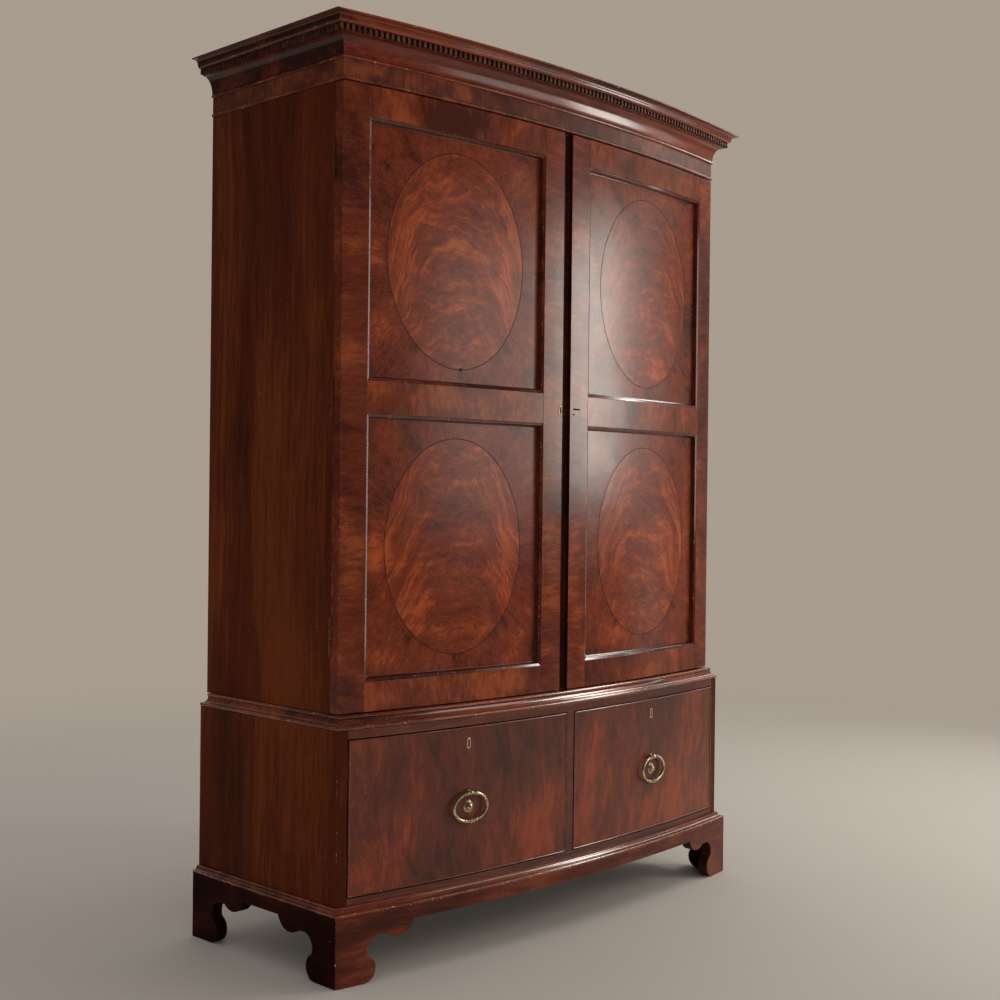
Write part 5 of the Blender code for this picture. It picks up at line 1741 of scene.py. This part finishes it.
@dataclass
class Door:
    """One door: veneered frame, two oval panels and its lock fittings."""

    side: Side
    low: float = 0.5835
    high: float = 1.9675
    depth: float = 0.026
    hinge_stile: Pair = (0.611, 0.678)
    meeting_stile: Pair = (0.015, 0.083)
    lap: Pair = (-0.0135, -0.013)
    rails: tuple[Span, ...] = (("bottom", 0.5835, 0.649), ("lock", 1.243, 1.3165), ("top", 1.8985, 1.9675))
    panels: tuple[Span, ...] = (("lower", 0.649, 1.243), ("upper", 1.3165, 1.8985))
    bead: Pair = (0.0105, -0.0145)
    recess: float = 0.014
    panel: float = 0.008
    ovals: tuple[Pair, ...] = ((0.3495, 0.946), (0.3495, 1.607))
    oval: Pair = (0.405, 0.500)
    line: Pair = (0.0016, 0.0005)
    line_steps: int = 160
    gap_deep: float = 0.010

    @property
    def body(self) -> str:
        """The CAD body that the door is."""
        return f"{self.side.word}_door"

    def build(self) -> None:
        """Makes the frame, the panels and the fittings."""
        self.frame_members()
        for number, (name, low, high) in enumerate(self.panels):
            self.oval_panel(name, low, high, self.ovals[number], number)
        self.lock_fittings()

    def frame_members(self) -> None:
        """Stiles and rails."""
        low, high = self.side.across(*self.hinge_stile)
        hinge = BOW.strip(low, high, 0.0, -self.depth)
        for part, outline in (("hinge_stile", hinge), ("meeting_stile", self.meeting_outline())):
            name = f"{self.body}_{part}"
            # Painted shade on the faces in the gap between the doors.
            mesh = darkened(plan_board(name, outline, self.low, self.high), 1.0, self.in_gap)
            place(f"{name}_veneered", mesh, STILE_BANDING, self.body, name)
        low, high = self.side.across(self.meeting_stile[1] + FIT_GAP, self.hinge_stile[0] - FIT_GAP)
        for part, bottom, top in self.rails:
            name = f"{self.body}_{part}_rail"
            mesh = plan_board(name, BOW.strip(low, high, 0.0, -self.depth), bottom, top)
            place(f"{name}_veneered", mesh, RAIL_BANDING, self.body, name)

    def in_gap(self, face: bpy.types.MeshPolygon) -> bool:
        """Whether a face lies in the gap between the doors."""
        deep = face.center.y - BOW.y(face.center.x, 0.0) > self.gap_deep and face.normal.y < -0.5
        return abs(face.center.x) < self.meeting_stile[1] and (abs(face.normal.x) > 0.7 or deep)

    def meeting_outline(self) -> Plan:
        """Plan of the meeting stile: the right one laps behind the left.

        Returns:
            Its points in order.
        """
        near, far = self.meeting_stile
        if self.side is Side.LEFT:
            return BOW.strip(-far, -near, 0.0, -self.depth)
        edge, deep = self.lap
        step = [(near, BOW.y(near, deep)), (edge, BOW.y(edge, deep))]
        return BOW.run(far, near, 0.0) + step + BOW.run(edge, far, -self.depth)

    def oval_panel(self, part: str, low: float, high: float, middle: Pair, number: int) -> None:
        """One panel with its veneer, its inlaid oval and the moulding round it.

        Args:
            part: Which panel it is, in a word.
            low: Height of its lower edge.
            high: Height of its upper edge.
            middle: The oval's middle, for a door on the right.
            number: The panel's number, from below.
        """
        name = f"{self.body}_{part}_panel"
        centre = (self.side.value * middle[0], middle[1])
        seed = (0.37 * self.side.value, 1.7 * number + 0.9 * self.side.value, 0.61 * number)
        glows = PANEL_TONE_AND_LIGHT_CLOUDS[self.side, number]
        veneer = OvalVeneer(f"{name}_veneer", centre=centre, oval=self.oval, seed=seed, glows=glows)
        left, right = self.side.across(self.meeting_stile[1], self.hinge_stile[0])
        outline = BOW.strip(left + FIT_GAP, right - FIT_GAP, -self.recess, -self.recess - self.panel)
        board = plan_board(name, outline, low + FIT_GAP, high - FIT_GAP)
        place(f"{name}_field", board, veneer, self.body, name)
        box = (left, right, low, high)
        bead = ring_on_bow(f"{name}_moulding", self.bead_section(), PANEL_BEAD, Stage.CUPBOARD, box)
        place(f"{name}_moulding", bead, PANEL_BEAD, self.body)
        values = bow_values(DARK_LINE, out=-self.recess) | {"Middle X": centre[0], "Middle Z": centre[1]}
        values |= {"Width": self.oval[0], "Height": self.oval[1], "Steps": self.line_steps}
        values |= {"Line": self.line[0], "Proud": self.line[1]}
        line = grown(f"{name}_line", Trees.inlaid_line(), point_mesh("no_points", [(0.0, 0.0, 0.0)]), values)
        place(f"{name}_line", line, DARK_LINE, self.body)

    def bead_section(self) -> Plan:
        """Section of a panel's moulding: a slope in from the frame, then a hollow down to the panel.

        Returns:
            Its points in order.
        """
        wide, foot = self.bead
        hollow = arc((wide, -0.0034), (0.0042, 0.0106), 180, 270, 8)
        return [(FIT_GAP, foot), (FIT_GAP, -0.0006), (0.0058, -0.0028)] + hollow + [(wide, foot)]

    def lock_fittings(self) -> None:
        """The left door's keyhole and a small old hole, or the right door's old slot and peg hole."""
        if self.side is Side.LEFT:
            # Painted shade: a near-black plate stands for the inside of the old hole.
            hole = old_mark("old_hole", (0.0085, 0.0075), on_face(-0.3425, 1.3575, -self.recess))
            place(f"{self.body}_old_hole", hole, HOLE_SHADE, self.body)
            lock = Keyhole(-0.0222, 1.278, (0.0125, 0.0255), stage=Stage.CUPBOARD, brass=KEYHOLE_BRASS)
            lock.build(f"{self.body}_keyhole", self.body)
            return
        # Painted shade: near-black plates stand for the insides of the old slot and the peg hole.
        slot = old_mark("slot", (0.026, 0.004), on_face(0.040, 1.283))
        peg = old_mark("peg", (0.0062, 0.0062), on_face(0.0285, 1.2695))
        place(f"{self.body}_old_slot", joined("slot_and_peg", slot, peg), HOLE_SHADE, self.body)


def old_mark(name: str, size: Pair, matrix: Matrix, sunk: float = 0.001, proud: float = 0.0002) -> Mesh:
    """A dark mark where something was once let in, hardly proud of the face."""
    return finished_mesh(name, placed(plate(oblong(*size), -sunk, proud), matrix))


@dataclass
class Keyhole:
    """An oblong brass thread round a keyhole, whose opening is a near-black plate of painted shade."""

    x: float
    z: float
    thread: Pair
    stage: Stage
    slot: Pair = (0.0048, 0.0170)
    proud: float = 0.0007
    sunk: float = 0.002
    ease: float = 0.0004
    overlap: float = 0.0002
    brass: Finish = BRASS

    def build(self, name: str, body: str) -> None:
        """Makes the thread and the painted-shade plate in its opening, and dresses them.

        Args:
            name: What the keyhole is called.
            body: The CAD body that it is on.
        """
        matrix = on_face(self.x, self.z, stage=self.stage)
        outer, inner = oblong(*self.thread), oblong(*self.slot)
        soft = oblong(self.thread[0] - 2 * self.ease, self.thread[1] - 2 * self.ease)
        levels = [(outer, -self.sunk), (outer, self.proud - self.ease), (soft, self.proud)]
        levels += [(inner, self.proud), (inner, -self.sunk)]
        shape = bmesh.new()
        rings = [[shape.verts.new((x, -height, z)) for x, z in outline] for outline, height in levels]
        count = len(outer)
        for low, high in zip(rings, rings[1:] + rings[:1]):
            for i in range(count):
                j = (i + 1) % count
                shape.faces.new((low[i], low[j], high[j], high[i]))
        place(f"{name}_thread", finished_mesh(f"{name}_thread", placed(shape, matrix)), self.brass, body)
        wide, tall = (length + self.overlap for length in self.slot)
        # Painted shade: a near-black plate stands for the inside of the keyhole.
        hole = old_mark(f"{name}_slot", (wide, tall), matrix, sunk=0.0015, proud=0.0001)
        place(f"{name}_slot", hole, HOLE_SHADE, body)


@dataclass
class Hinges:
    """The butt hinges: leaves from the part, with screws let into them."""

    side: Side
    heights: tuple[tuple[str, float], ...] = (("bottom", 0.75), ("middle", 1.2755), ("top", 1.801))
    axis: Pair = (0.679, -0.15982)
    face: float = 0.0004
    column: float = 0.0115
    spread: float = 0.064
    screws: int = 3
    head: float = 0.0027
    slot: float = 8.6
    sunk: float = 0.0006
    proud: float = 0.00022

    def screw_head(self) -> Mesh:
        """A slotted head: two halves of a low disc, facing -Y.

        Returns:
            Its mesh.
        """
        shape = bmesh.new()
        half = arc((0.0, 0.0), (self.head, self.head), self.slot, 180.0 - self.slot, 10)
        for sign in (1.0, -1.0):
            part = plate([(x * sign, z * sign) for x, z in half], -self.sunk, self.proud)
            mesh = bpy.data.meshes.new("half_head")
            part.to_mesh(mesh)
            part.free()
            shape.from_mesh(mesh)
        return finished_mesh("screw_head", shape)

    def build(self) -> None:
        """Dresses the leaves and sets the screws in both."""
        turn = BOW.slope(self.side.value * BOW.half_width)
        word = self.side.word
        for leaf, body, flip in (("case_leaf", "case", 0.0), ("door_leaf", f"{word}_door", math.pi)):
            heads = [self.heads(z, turn, flip) for _, z in self.heights]
            name = f"{word}_{leaf}_screws"
            place(name, joined(name, *heads), HINGE_BRASS, body)
            dress(HINGE_BRASS, *(f"{word}_{at}_hinge_{leaf}" for at, _ in self.heights))

    def heads(self, z: float, turn: float, flip: float) -> Mesh:
        """The screws of one leaf.

        Args:
            z: Height of the hinge's middle.
            turn: How far the leaf is turned from square.
            flip: Half a turn if the heads face the other way.

        Returns:
            Their mesh.
        """
        inward = Vector((-self.side.value * math.cos(turn), -self.side.value * math.sin(turn), 0.0))
        outward = Vector((math.sin(turn), -math.cos(turn), 0.0)) * (-1.0 if flip else 1.0)
        pin = Vector((self.side.value * self.axis[0], self.axis[1], z - self.spread / 2))
        values = {"Origin": pin + inward * self.column - outward * self.face, "Count": self.screws}
        values |= {"Upwards": (0.0, 0.0, self.spread / (self.screws - 1)), "Turn": (0.0, 0.5, turn + flip)}
        values["Material"] = HINGE_BRASS.material()
        return grown("leaf_screws", Trees.set_heads(), self.screw_head(), values)


@dataclass
class Base:
    """The lower case that holds the two drawers, with the waist moulding on it."""

    inner: float = 0.670
    outer: float = 0.696
    low: float = 0.1583
    high: float = 0.551
    reach: float = 0.6697
    back: float = 0.2927
    bottom_top: float = 0.184
    top_low: float = 0.5315
    divider: float = 0.012
    waist: float = 0.5813 - FIT_GAP
    waist_back: float = -0.058
    nose: Pair = (-0.002, 0.004)
    bead: Pair = (-0.0145, 0.0035)
    # How far the front faces of the sides are darkened.
    front_darkening: float = 0.45

    def waist_section(self) -> Plan:
        """Section of the waist moulding: nose, hollow and bead.

        Returns:
            Its points in order.
        """
        low = self.high + FIT_GAP
        across, radius = self.nose
        nose = arc((across, low + radius), (radius, radius), -90, 90, 12)
        across, radius = self.bead
        bead = arc((across, self.waist - radius), (radius, radius), -60, 90, 10)
        edge = nose[-1]
        hollow = arc((edge[0], bead[0][1]), (edge[0] - bead[0][0], bead[0][1] - edge[1]), 270, 180, 10)
        return nose + hollow[1:-1] + bead + [(self.waist_back, self.waist), (self.waist_back, low)]

    def build(self) -> None:
        """Makes the boards and the moulding, and dresses them."""
        for side in Side:
            low, high = side.across(self.inner, self.outer)
            name = f"base_side_{side.word}"
            outline = BOW.to_back(low, high, 0.0, BOW.back, Stage.BASE)
            mesh = plan_board(name, outline, self.low, self.high)
            # Darkens the front faces of the sides, and gives painted shade to their faces inside the case.
            mesh = darkened(mesh, self.front_darkening, lambda face: face.normal.y < -0.7)
            mesh = darkened(mesh, HIDDEN_SHADE, lambda face: face.normal.x * face.center.x < -0.4)
            place(f"{name}_board", mesh, CASE_SIDE, "case", name)
        spans = (
            ("base_bottom", self.reach, self.low, self.bottom_top),
            ("base_top", self.reach, self.top_low, self.high),
            ("drawer_divider", self.divider, self.bottom_top + FIT_GAP, self.top_low - FIT_GAP),
        )
        for name, reach, low, high in spans:
            outline = BOW.to_back(-reach, reach, 0.0, self.back, Stage.BASE)
            # Painted shade on the edges of the rails and divider round the drawers.
            mesh = darkened(plan_board(name, outline, low, high), HIDDEN_SHADE, edgewise)
            place(f"{name}_board", mesh, RAIL_EDGE, "case", name)
        planks = planked("base_back_planks", self.reach, self.back + FIT_GAP, self.low, self.high)
        place("base_back_planks", planks, LINING_UPRIGHT, "case", "base_back")
        waist = moulding("waist_moulding_run", self.waist_section(), WAIST_WOOD, Stage.BASE, True)
        place("waist_moulding_run", waist, WAIST_WOOD, "case", "waist_moulding")


@dataclass
class Plinth:
    """The plinth with its shaped feet and hollow lip."""

    outer: float = 0.7135
    depth: float = 0.030
    seat: float = 0.158
    lip_top: float = 0.1685
    lip_side: float = 0.0169
    lip_front: float = 0.0234
    ledge: float = 0.005
    lip_tail: float = 0.006
    arris: float = 0.0022
    ease: float = 0.0012
    knob: Triple = (0.0705, 0.031, 0.031)
    neck: Triple = (0.1105, 0.0715, 0.031)
    lobe: Triple = (0.160, 0.135, 0.0445)

    def foot(self) -> Plan:
        """The foot's inner edge.

        Returns:
            Points as (distance from the corner, height), from the floor up.
        """
        edge: Plan = []
        curves = ((self.knob, -90, 55, 16), (self.neck, 200, 90, 12), (self.lobe, -133, -18, 16))
        for (across, z, radius), start, end, steps in curves:
            edge += arc((across, z), (radius, radius), start, end, steps)
        return edge

    def board(self, start: float, end: float) -> Shape:
        """One flat board: X runs along it, Y is how deep it is, and its ends are mitred later.

        Args:
            start: Where it starts.
            end: Where it ends.

        Returns:
            The shape.
        """
        left = [(start + across, z) for across, z in self.foot()]
        right = [(end - across, z) for across, z in reversed(self.foot())]
        top = self.seat - 2 * self.arris
        outline = [(start, 0.0), *left, *right, (end, 0.0), (end, top), (start, top)]
        shape = plate(outline, 0.0, -self.depth, self.ease)
        rub = shape.faces.layers.float["rub"]
        # Painted shade, and partly the darker bare wood, on every face but the front: the back, the top and
        # the shaped edges of the feet.
        for face in shape.faces:
            if face[rub] == 0.0 and face.normal.y > -0.5:
                face[rub] = -HIDDEN_SHADE
        count = round((end - start) / BOW.step)
        for i in range(1, count):
            x = start + (end - start) * i / count
            parts = [*shape.verts, *shape.edges, *shape.faces]
            bmesh.ops.bisect_plane(shape, geom=parts, plane_co=(x, 0, 0), plane_no=(1, 0, 0), dist=MERGE)
        return shape

    def build(self) -> None:
        """Makes the three boards and the lip, and dresses them."""
        shape = self.board(-self.outer, self.outer)
        for vert in shape.verts:
            depth = vert.co.y
            vert.co.x = math.copysign(min(abs(vert.co.x), self.outer - depth), vert.co.x)
            vert.co.y = BOW.y(vert.co.x, -depth, Stage.PLINTH)
        front = finished_mesh("plinth_front", shape, FLAT_ANGLE)
        place("plinth_front_board", front, PLINTH_WOOD, "case", "plinth_front")
        for side in Side:
            shape = self.board(BOW.y(self.outer, 0.0, Stage.PLINTH), BOW.back)
            for vert in shape.verts:
                along, depth = vert.co.x, vert.co.y
                mitre = BOW.y(self.outer - depth, -depth, Stage.PLINTH)
                vert.co.x = side.value * (self.outer - depth)
                vert.co.y = max(along, mitre)
            name = f"plinth_{side.word}"
            place(f"{name}_board", finished_mesh(name, shape, FLAT_ANGLE), PLINTH_END, "case", name)
        stretch = self.lip_front / self.lip_side
        lip = moulding("plinth_lip", self.lip_section(), PLINTH_LIP, Stage.PLINTH, False, stretch)
        place("plinth_lip", lip, PLINTH_LIP, "case")

    def lip_section(self) -> Plan:
        """Section of the lip: a round arris, then a hollow up to the base.

        Returns:
            Its points in order.
        """
        low = self.seat - 2 * self.arris
        corner = arc((-self.arris, self.seat - self.arris), (self.arris, self.arris), 0, 80, 8)
        edge = corner[-1]
        across = self.lip_side - self.ledge + edge[0]
        hollow = arc((edge[0], self.lip_top), (across, self.lip_top - edge[1]), 270, 180, 12)
        inner = -self.depth / 2 - self.lip_tail
        back = [(-self.lip_side, self.lip_top), (-self.lip_side, self.seat), (inner, self.seat), (inner, low)]
        return [(0.0, low), *corner, *hollow[1:], *back]


@dataclass
class Drawer:
    """One drawer: bowed veneered front with a cock bead, plain linings, keyhole and ring pull."""

    side: Side
    inner: float = 0.014
    outer: float = 0.668
    depth: float = 0.022
    low: float = 0.186
    high: float = 0.5295
    bead: float = 0.0017
    bead_root: float = 0.004
    shy: float = 0.0005
    middle: float = 0.341
    keyhole_z: float = 0.491

    @property
    def body(self) -> str:
        """The CAD body that the drawer is."""
        return f"{self.side.word}_drawer"

    def build(self) -> None:
        """Makes the front and its bead, dresses the linings and fits the pull."""
        left, right = self.side.across(self.inner, self.outer)
        low, high, left, right = self.low + self.shy, self.high - self.shy, left + self.shy, right - self.shy
        outline = BOW.strip(left, right, 0.0, -self.depth, Stage.BASE)
        name = f"{self.body}_front"
        # Painted shade on the front's edges, in the gap round the drawer.
        mesh = darkened(plan_board(name, outline, low, high), 1.0, edgewise)
        place(f"{name}_veneered", mesh, DRAWER_VENEER, self.body, name)
        round_top = arc((self.bead, 0.0), (self.bead, self.bead), 180, 0, 8)
        section = [(0.0, -self.bead_root), *round_top, (2 * self.bead, -self.bead_root)]
        bead = ring_on_bow(f"{self.body}_cock_bead", section, COCK_BEAD, Stage.BASE, (left, right, low, high))
        place(f"{self.body}_cock_bead", bead, COCK_BEAD, self.body)
        dress(LINING_DEEP, f"{self.body}_inner_side", f"{self.body}_outer_side")
        dress(LINING_ACROSS, f"{self.body}_back", f"{self.body}_bottom")
        x = self.side.value * self.middle
        Keyhole(x, self.keyhole_z, (0.0118, 0.0265), Stage.BASE).build(f"{self.body}_keyhole", self.body)
        Pull(self.side, x).build()


@dataclass
class Pull:
    """A ring pull: turned post with a ball, stepped rosette and a beaded ring that swings."""

    side: Side
    x: float
    top: float = 0.3773
    off: float = 0.009
    across: float = 0.0996
    down: float = 0.0656
    wire: float = 0.0037
    ball: float = 0.0062
    rosette: float = 0.0145
    steps: int = 96

    def build(self) -> None:
        """Makes post, rosette and ring, and dresses them."""
        drawer, swing = f"{self.side.word}_drawer", f"{self.side.word}_pull"
        out_of_face = Matrix.Rotation(math.pi / 2, 4, "X")
        foot = [(0.0, -0.001), (0.006, -0.001), (0.006, 0.0012), (0.0045, 0.003), (0.0028, 0.0036)]
        ball = arc((0.0, self.off), (self.ball, self.ball), -57, 90, 12)
        profile = foot + ball[:-1] + [(0.0, self.off + self.ball)]
        post = turned(profile, on_face(self.x, self.top, stage=Stage.BASE) @ out_of_face)
        place(f"{swing}_post_turned", finished_mesh(f"{swing}_post", post), BRASS, drawer, f"{swing}_post")
        steps = [(0.0, -0.001), (self.rosette, -0.001), (self.rosette, 0.0009)]
        steps += [(self.rosette - 0.0012, 0.0018), (0.0122, 0.0018), (0.0116, 0.0030)]
        steps += [(0.0108, 0.0036), (0.0098, 0.0034)]
        steps += arc((0.0, 0.0034), (0.0092, 0.0074), 0, 62, 9) + [(0.0040, 0.0096)]
        steps += arc((0.0, 0.0096), (0.0036, 0.0020), 0, 84, 6) + [(0.0, 0.0117)]
        seat = on_face(self.x, self.top - self.down / 2, stage=Stage.BASE) @ out_of_face
        place(f"{swing}_rosette", finished_mesh(f"{swing}_rosette", turned(steps, seat)), BRASS, drawer)
        self.ring(swing)

    def ring(self, swing: str) -> None:
        """The oval ring with its collars and beads.

        Args:
            swing: The CAD body that it is.
        """
        beads = [(0.5, 0.0060, 0.0038)]
        for gap, thick, length in ((0.027, 0.0054, 0.0030), (0.049, 0.0051, 0.0027), (0.068, 0.0047, 0.0022)):
            beads += [(0.5 - gap, thick, length), (0.5 + gap, thick, length)]
        for gap, thick, length in ((0.037, 0.0053, 0.0026), (0.056, 0.0056, 0.0030), (0.075, 0.0049, 0.0024)):
            beads += [(gap, thick, length), (1.0 - gap, thick, length)]
        values = {"Width": self.across, "Height": self.down, "Wire": self.wire, "Steps": self.steps}
        values["Material"] = BRASS.material()
        mesh = grown(f"{swing}_ring", Trees.beaded_ring(), point_mesh(f"{swing}_beads", beads), values)
        seat = on_face(self.x, self.top, self.off, Stage.BASE)
        mesh.transform(seat @ Matrix.Translation((0.0, 0.0, -self.down / 2)))
        place(f"{swing}_ring_beaded", mesh, BRASS, swing, f"{swing}_ring")


@dataclass(frozen=True)
class Softbox:
    """One soft lamp, like a window."""

    name: str
    at: Triple
    to: Triple
    size: Pair
    watts: float
    tint: Colour = (1.0, 0.98, 0.90)

    def build(self) -> None:
        """Hangs the lamp and aims it."""
        light = bpy.data.lights.new(self.name, "AREA")
        light.shape = "RECTANGLE"
        light.size, light.size_y = self.size
        light.energy = self.watts
        light.color = self.tint
        lamp = bpy.data.objects.new(self.name, light)
        lamp.location = self.at
        aim = Vector(self.to) - Vector(self.at)
        lamp.rotation_euler = aim.to_track_quat("-Z", "Y").to_euler()
        bpy.context.scene.collection.objects.link(lamp)


STUDIO_LAMPS = (
    Softbox("window", (2.80, -2.33, 1.74), (0.1, -0.25, 1.40), (0.70, 1.26), 29.5),
    Softbox("window_edge", (3.24, -1.70, 1.40), (0.0, -0.20, 1.30), (0.07, 2.3), 2.2),
    Softbox("high_window", (3.75, -0.95, 3.35), (0.1, -0.25, 0.50), (1.3, 0.5), 35.0),
    Softbox("far_window", (2.10, -3.35, 1.65), (0.0, -0.25, 1.45), (1.10, 1.5), 9.5),
    Softbox("side_strip", (3.60, 0.10, 1.60), (0.0, -0.20, 1.30), (0.30, 2.2), 9.0),
)


@dataclass
class Studio:
    """Pale floor, soft light from the right and the photograph's camera."""

    position: Triple = (-2.6872, -2.614, 1.067)
    turn: Triple = (-45.99, -0.21, 0.63)
    lens: float = 51.723
    sensor: float = 36.0
    pale: Colour = (0.39, 0.335, 0.275)
    floor: Colour = (0.56, 0.505, 0.455)
    floor_radius: float = 5.0
    floor_fade: Pair = (1.6, 4.8)
    sky: float = 0.60
    lamps: tuple[Softbox, ...] = STUDIO_LAMPS

    def build(self) -> None:
        """Sets the stage, the light and the camera."""
        self.ground()
        self.air()
        for lamp in self.lamps:
            lamp.build()
        self.camera()
        bpy.context.scene.view_settings.view_transform = "Standard"

    def ground(self) -> None:
        """A round floor that fades into the backdrop far away."""
        shape = bmesh.new()
        bmesh.ops.create_circle(shape, cap_ends=True, segments=96, radius=self.floor_radius)
        mesh = bpy.data.meshes.new("floor")
        shape.to_mesh(mesh)
        shape.free()
        floor = bpy.data.objects.new("floor", mesh)
        bpy.context.scene.collection.objects.link(floor)
        made = bpy.data.materials.new("pale_floor")
        made.use_nodes = True
        sheet = Sheet(made.node_tree)
        shader, output = made.node_tree.nodes["Principled BSDF"], made.node_tree.nodes["Material Output"]
        place_on = sheet.coords("Object")
        cloud = sheet.noise(place_on, 1.6, 3.0)
        darker = tuple(part * 0.95 for part in self.floor)
        colour = sheet.blend(cloud, opaque(self.floor), opaque(darker))
        sheet.fill(shader, {"Base Color": colour, "Roughness": sheet.range(cloud, 0.3, 0.7, (0.7, 0.8))})
        glow = sheet.out("ShaderNodeEmission", {"Color": opaque(self.pale), "Strength": 1.0})
        far = sheet.range(sheet.vector("LENGTH", place_on), *self.floor_fade)
        share = sheet.times(self.seen(sheet, sheet.add("ShaderNodeLightPath")), far)
        mix = sheet.out("ShaderNodeMixShader", {0: share, 1: shader.outputs[0], 2: glow})
        sheet.feed(output.inputs["Surface"], mix)
        mesh.materials.append(made)

    def air(self) -> None:
        """Soft light from all round, with less from the left, and a backdrop that reflects less in front."""
        world = bpy.data.worlds.new("studio")
        bpy.context.scene.world = world
        world.use_nodes = True
        sheet = Sheet(world.node_tree)
        world.node_tree.nodes.clear()
        path = sheet.add("ShaderNodeLightPath")
        toward = sheet.coords("Generated")
        ahead = sheet.vector("DOT_PRODUCT", toward, (0.72, 0.69, 0.0))
        shade = sheet.range(ahead, 0.10, 0.80, (0.10, 1.0))
        aside = sheet.vector("DOT_PRODUCT", toward, (-0.96, 0.28, 0.0))
        soft = sheet.range(aside, 0.1, 0.9, (self.sky, 0.55 * self.sky))
        even = sheet.out("ShaderNodeBackground", {"Color": (1.0, 0.98, 0.95, 1.0), "Strength": soft})
        dim = sheet.math("MAXIMUM", shade, path.outputs["Is Camera Ray"])
        backdrop = sheet.out("ShaderNodeBackground", {"Color": opaque(self.pale), "Strength": dim})
        mix = sheet.out("ShaderNodeMixShader", {0: self.seen(sheet, path), 1: even, 2: backdrop})
        sheet.add("ShaderNodeOutputWorld", {"Surface": mix})

    @staticmethod
    def seen(sheet: Sheet, path: Node) -> Socket:
        """Whether a ray shows a thing to the eye, straight or in a mirror.

        Args:
            sheet: The tree.
            path: The Light Path node.

        Returns:
            1 where it does.
        """
        rays = path.outputs
        mirrored = sheet.math("MAXIMUM", rays["Is Glossy Ray"], rays["Is Transmission Ray"])
        return sheet.math("MAXIMUM", rays["Is Camera Ray"], mirrored)

    def camera(self) -> None:
        """The camera where the photographer stood."""
        yaw, pitch, roll = (math.radians(angle) for angle in self.turn)
        ahead = Vector((-math.sin(yaw) * math.cos(pitch), math.cos(yaw) * math.cos(pitch), math.sin(pitch)))
        level = Vector((math.cos(yaw), math.sin(yaw), 0.0))
        up = level.cross(ahead)
        right = math.cos(roll) * level + math.sin(roll) * up
        upright = math.cos(roll) * up - math.sin(roll) * level
        matrix = Matrix((right, upright, -ahead)).transposed().to_4x4()
        matrix.translation = self.position
        data = bpy.data.cameras.new("camera")
        data.lens = self.lens
        data.sensor_width = self.sensor
        data.sensor_fit = "HORIZONTAL"
        camera = bpy.data.objects.new("camera", data)
        camera.matrix_world = matrix
        bpy.context.scene.collection.objects.link(camera)
        bpy.context.scene.camera = camera


def main() -> None:
    """Sets up the studio, builds the case from the top down, then the doors and drawers on each side."""
    logging.basicConfig(level=logging.INFO, format="%(name)s: %(message)s")
    Studio().build()
    Cornice().build()
    Cupboard().build()
    Base().build()
    Plinth().build()
    for side in Side:
        Door(side).build()
        Hinges(side).build()
        Drawer(side).build()


if __name__ == "__main__":
    main()
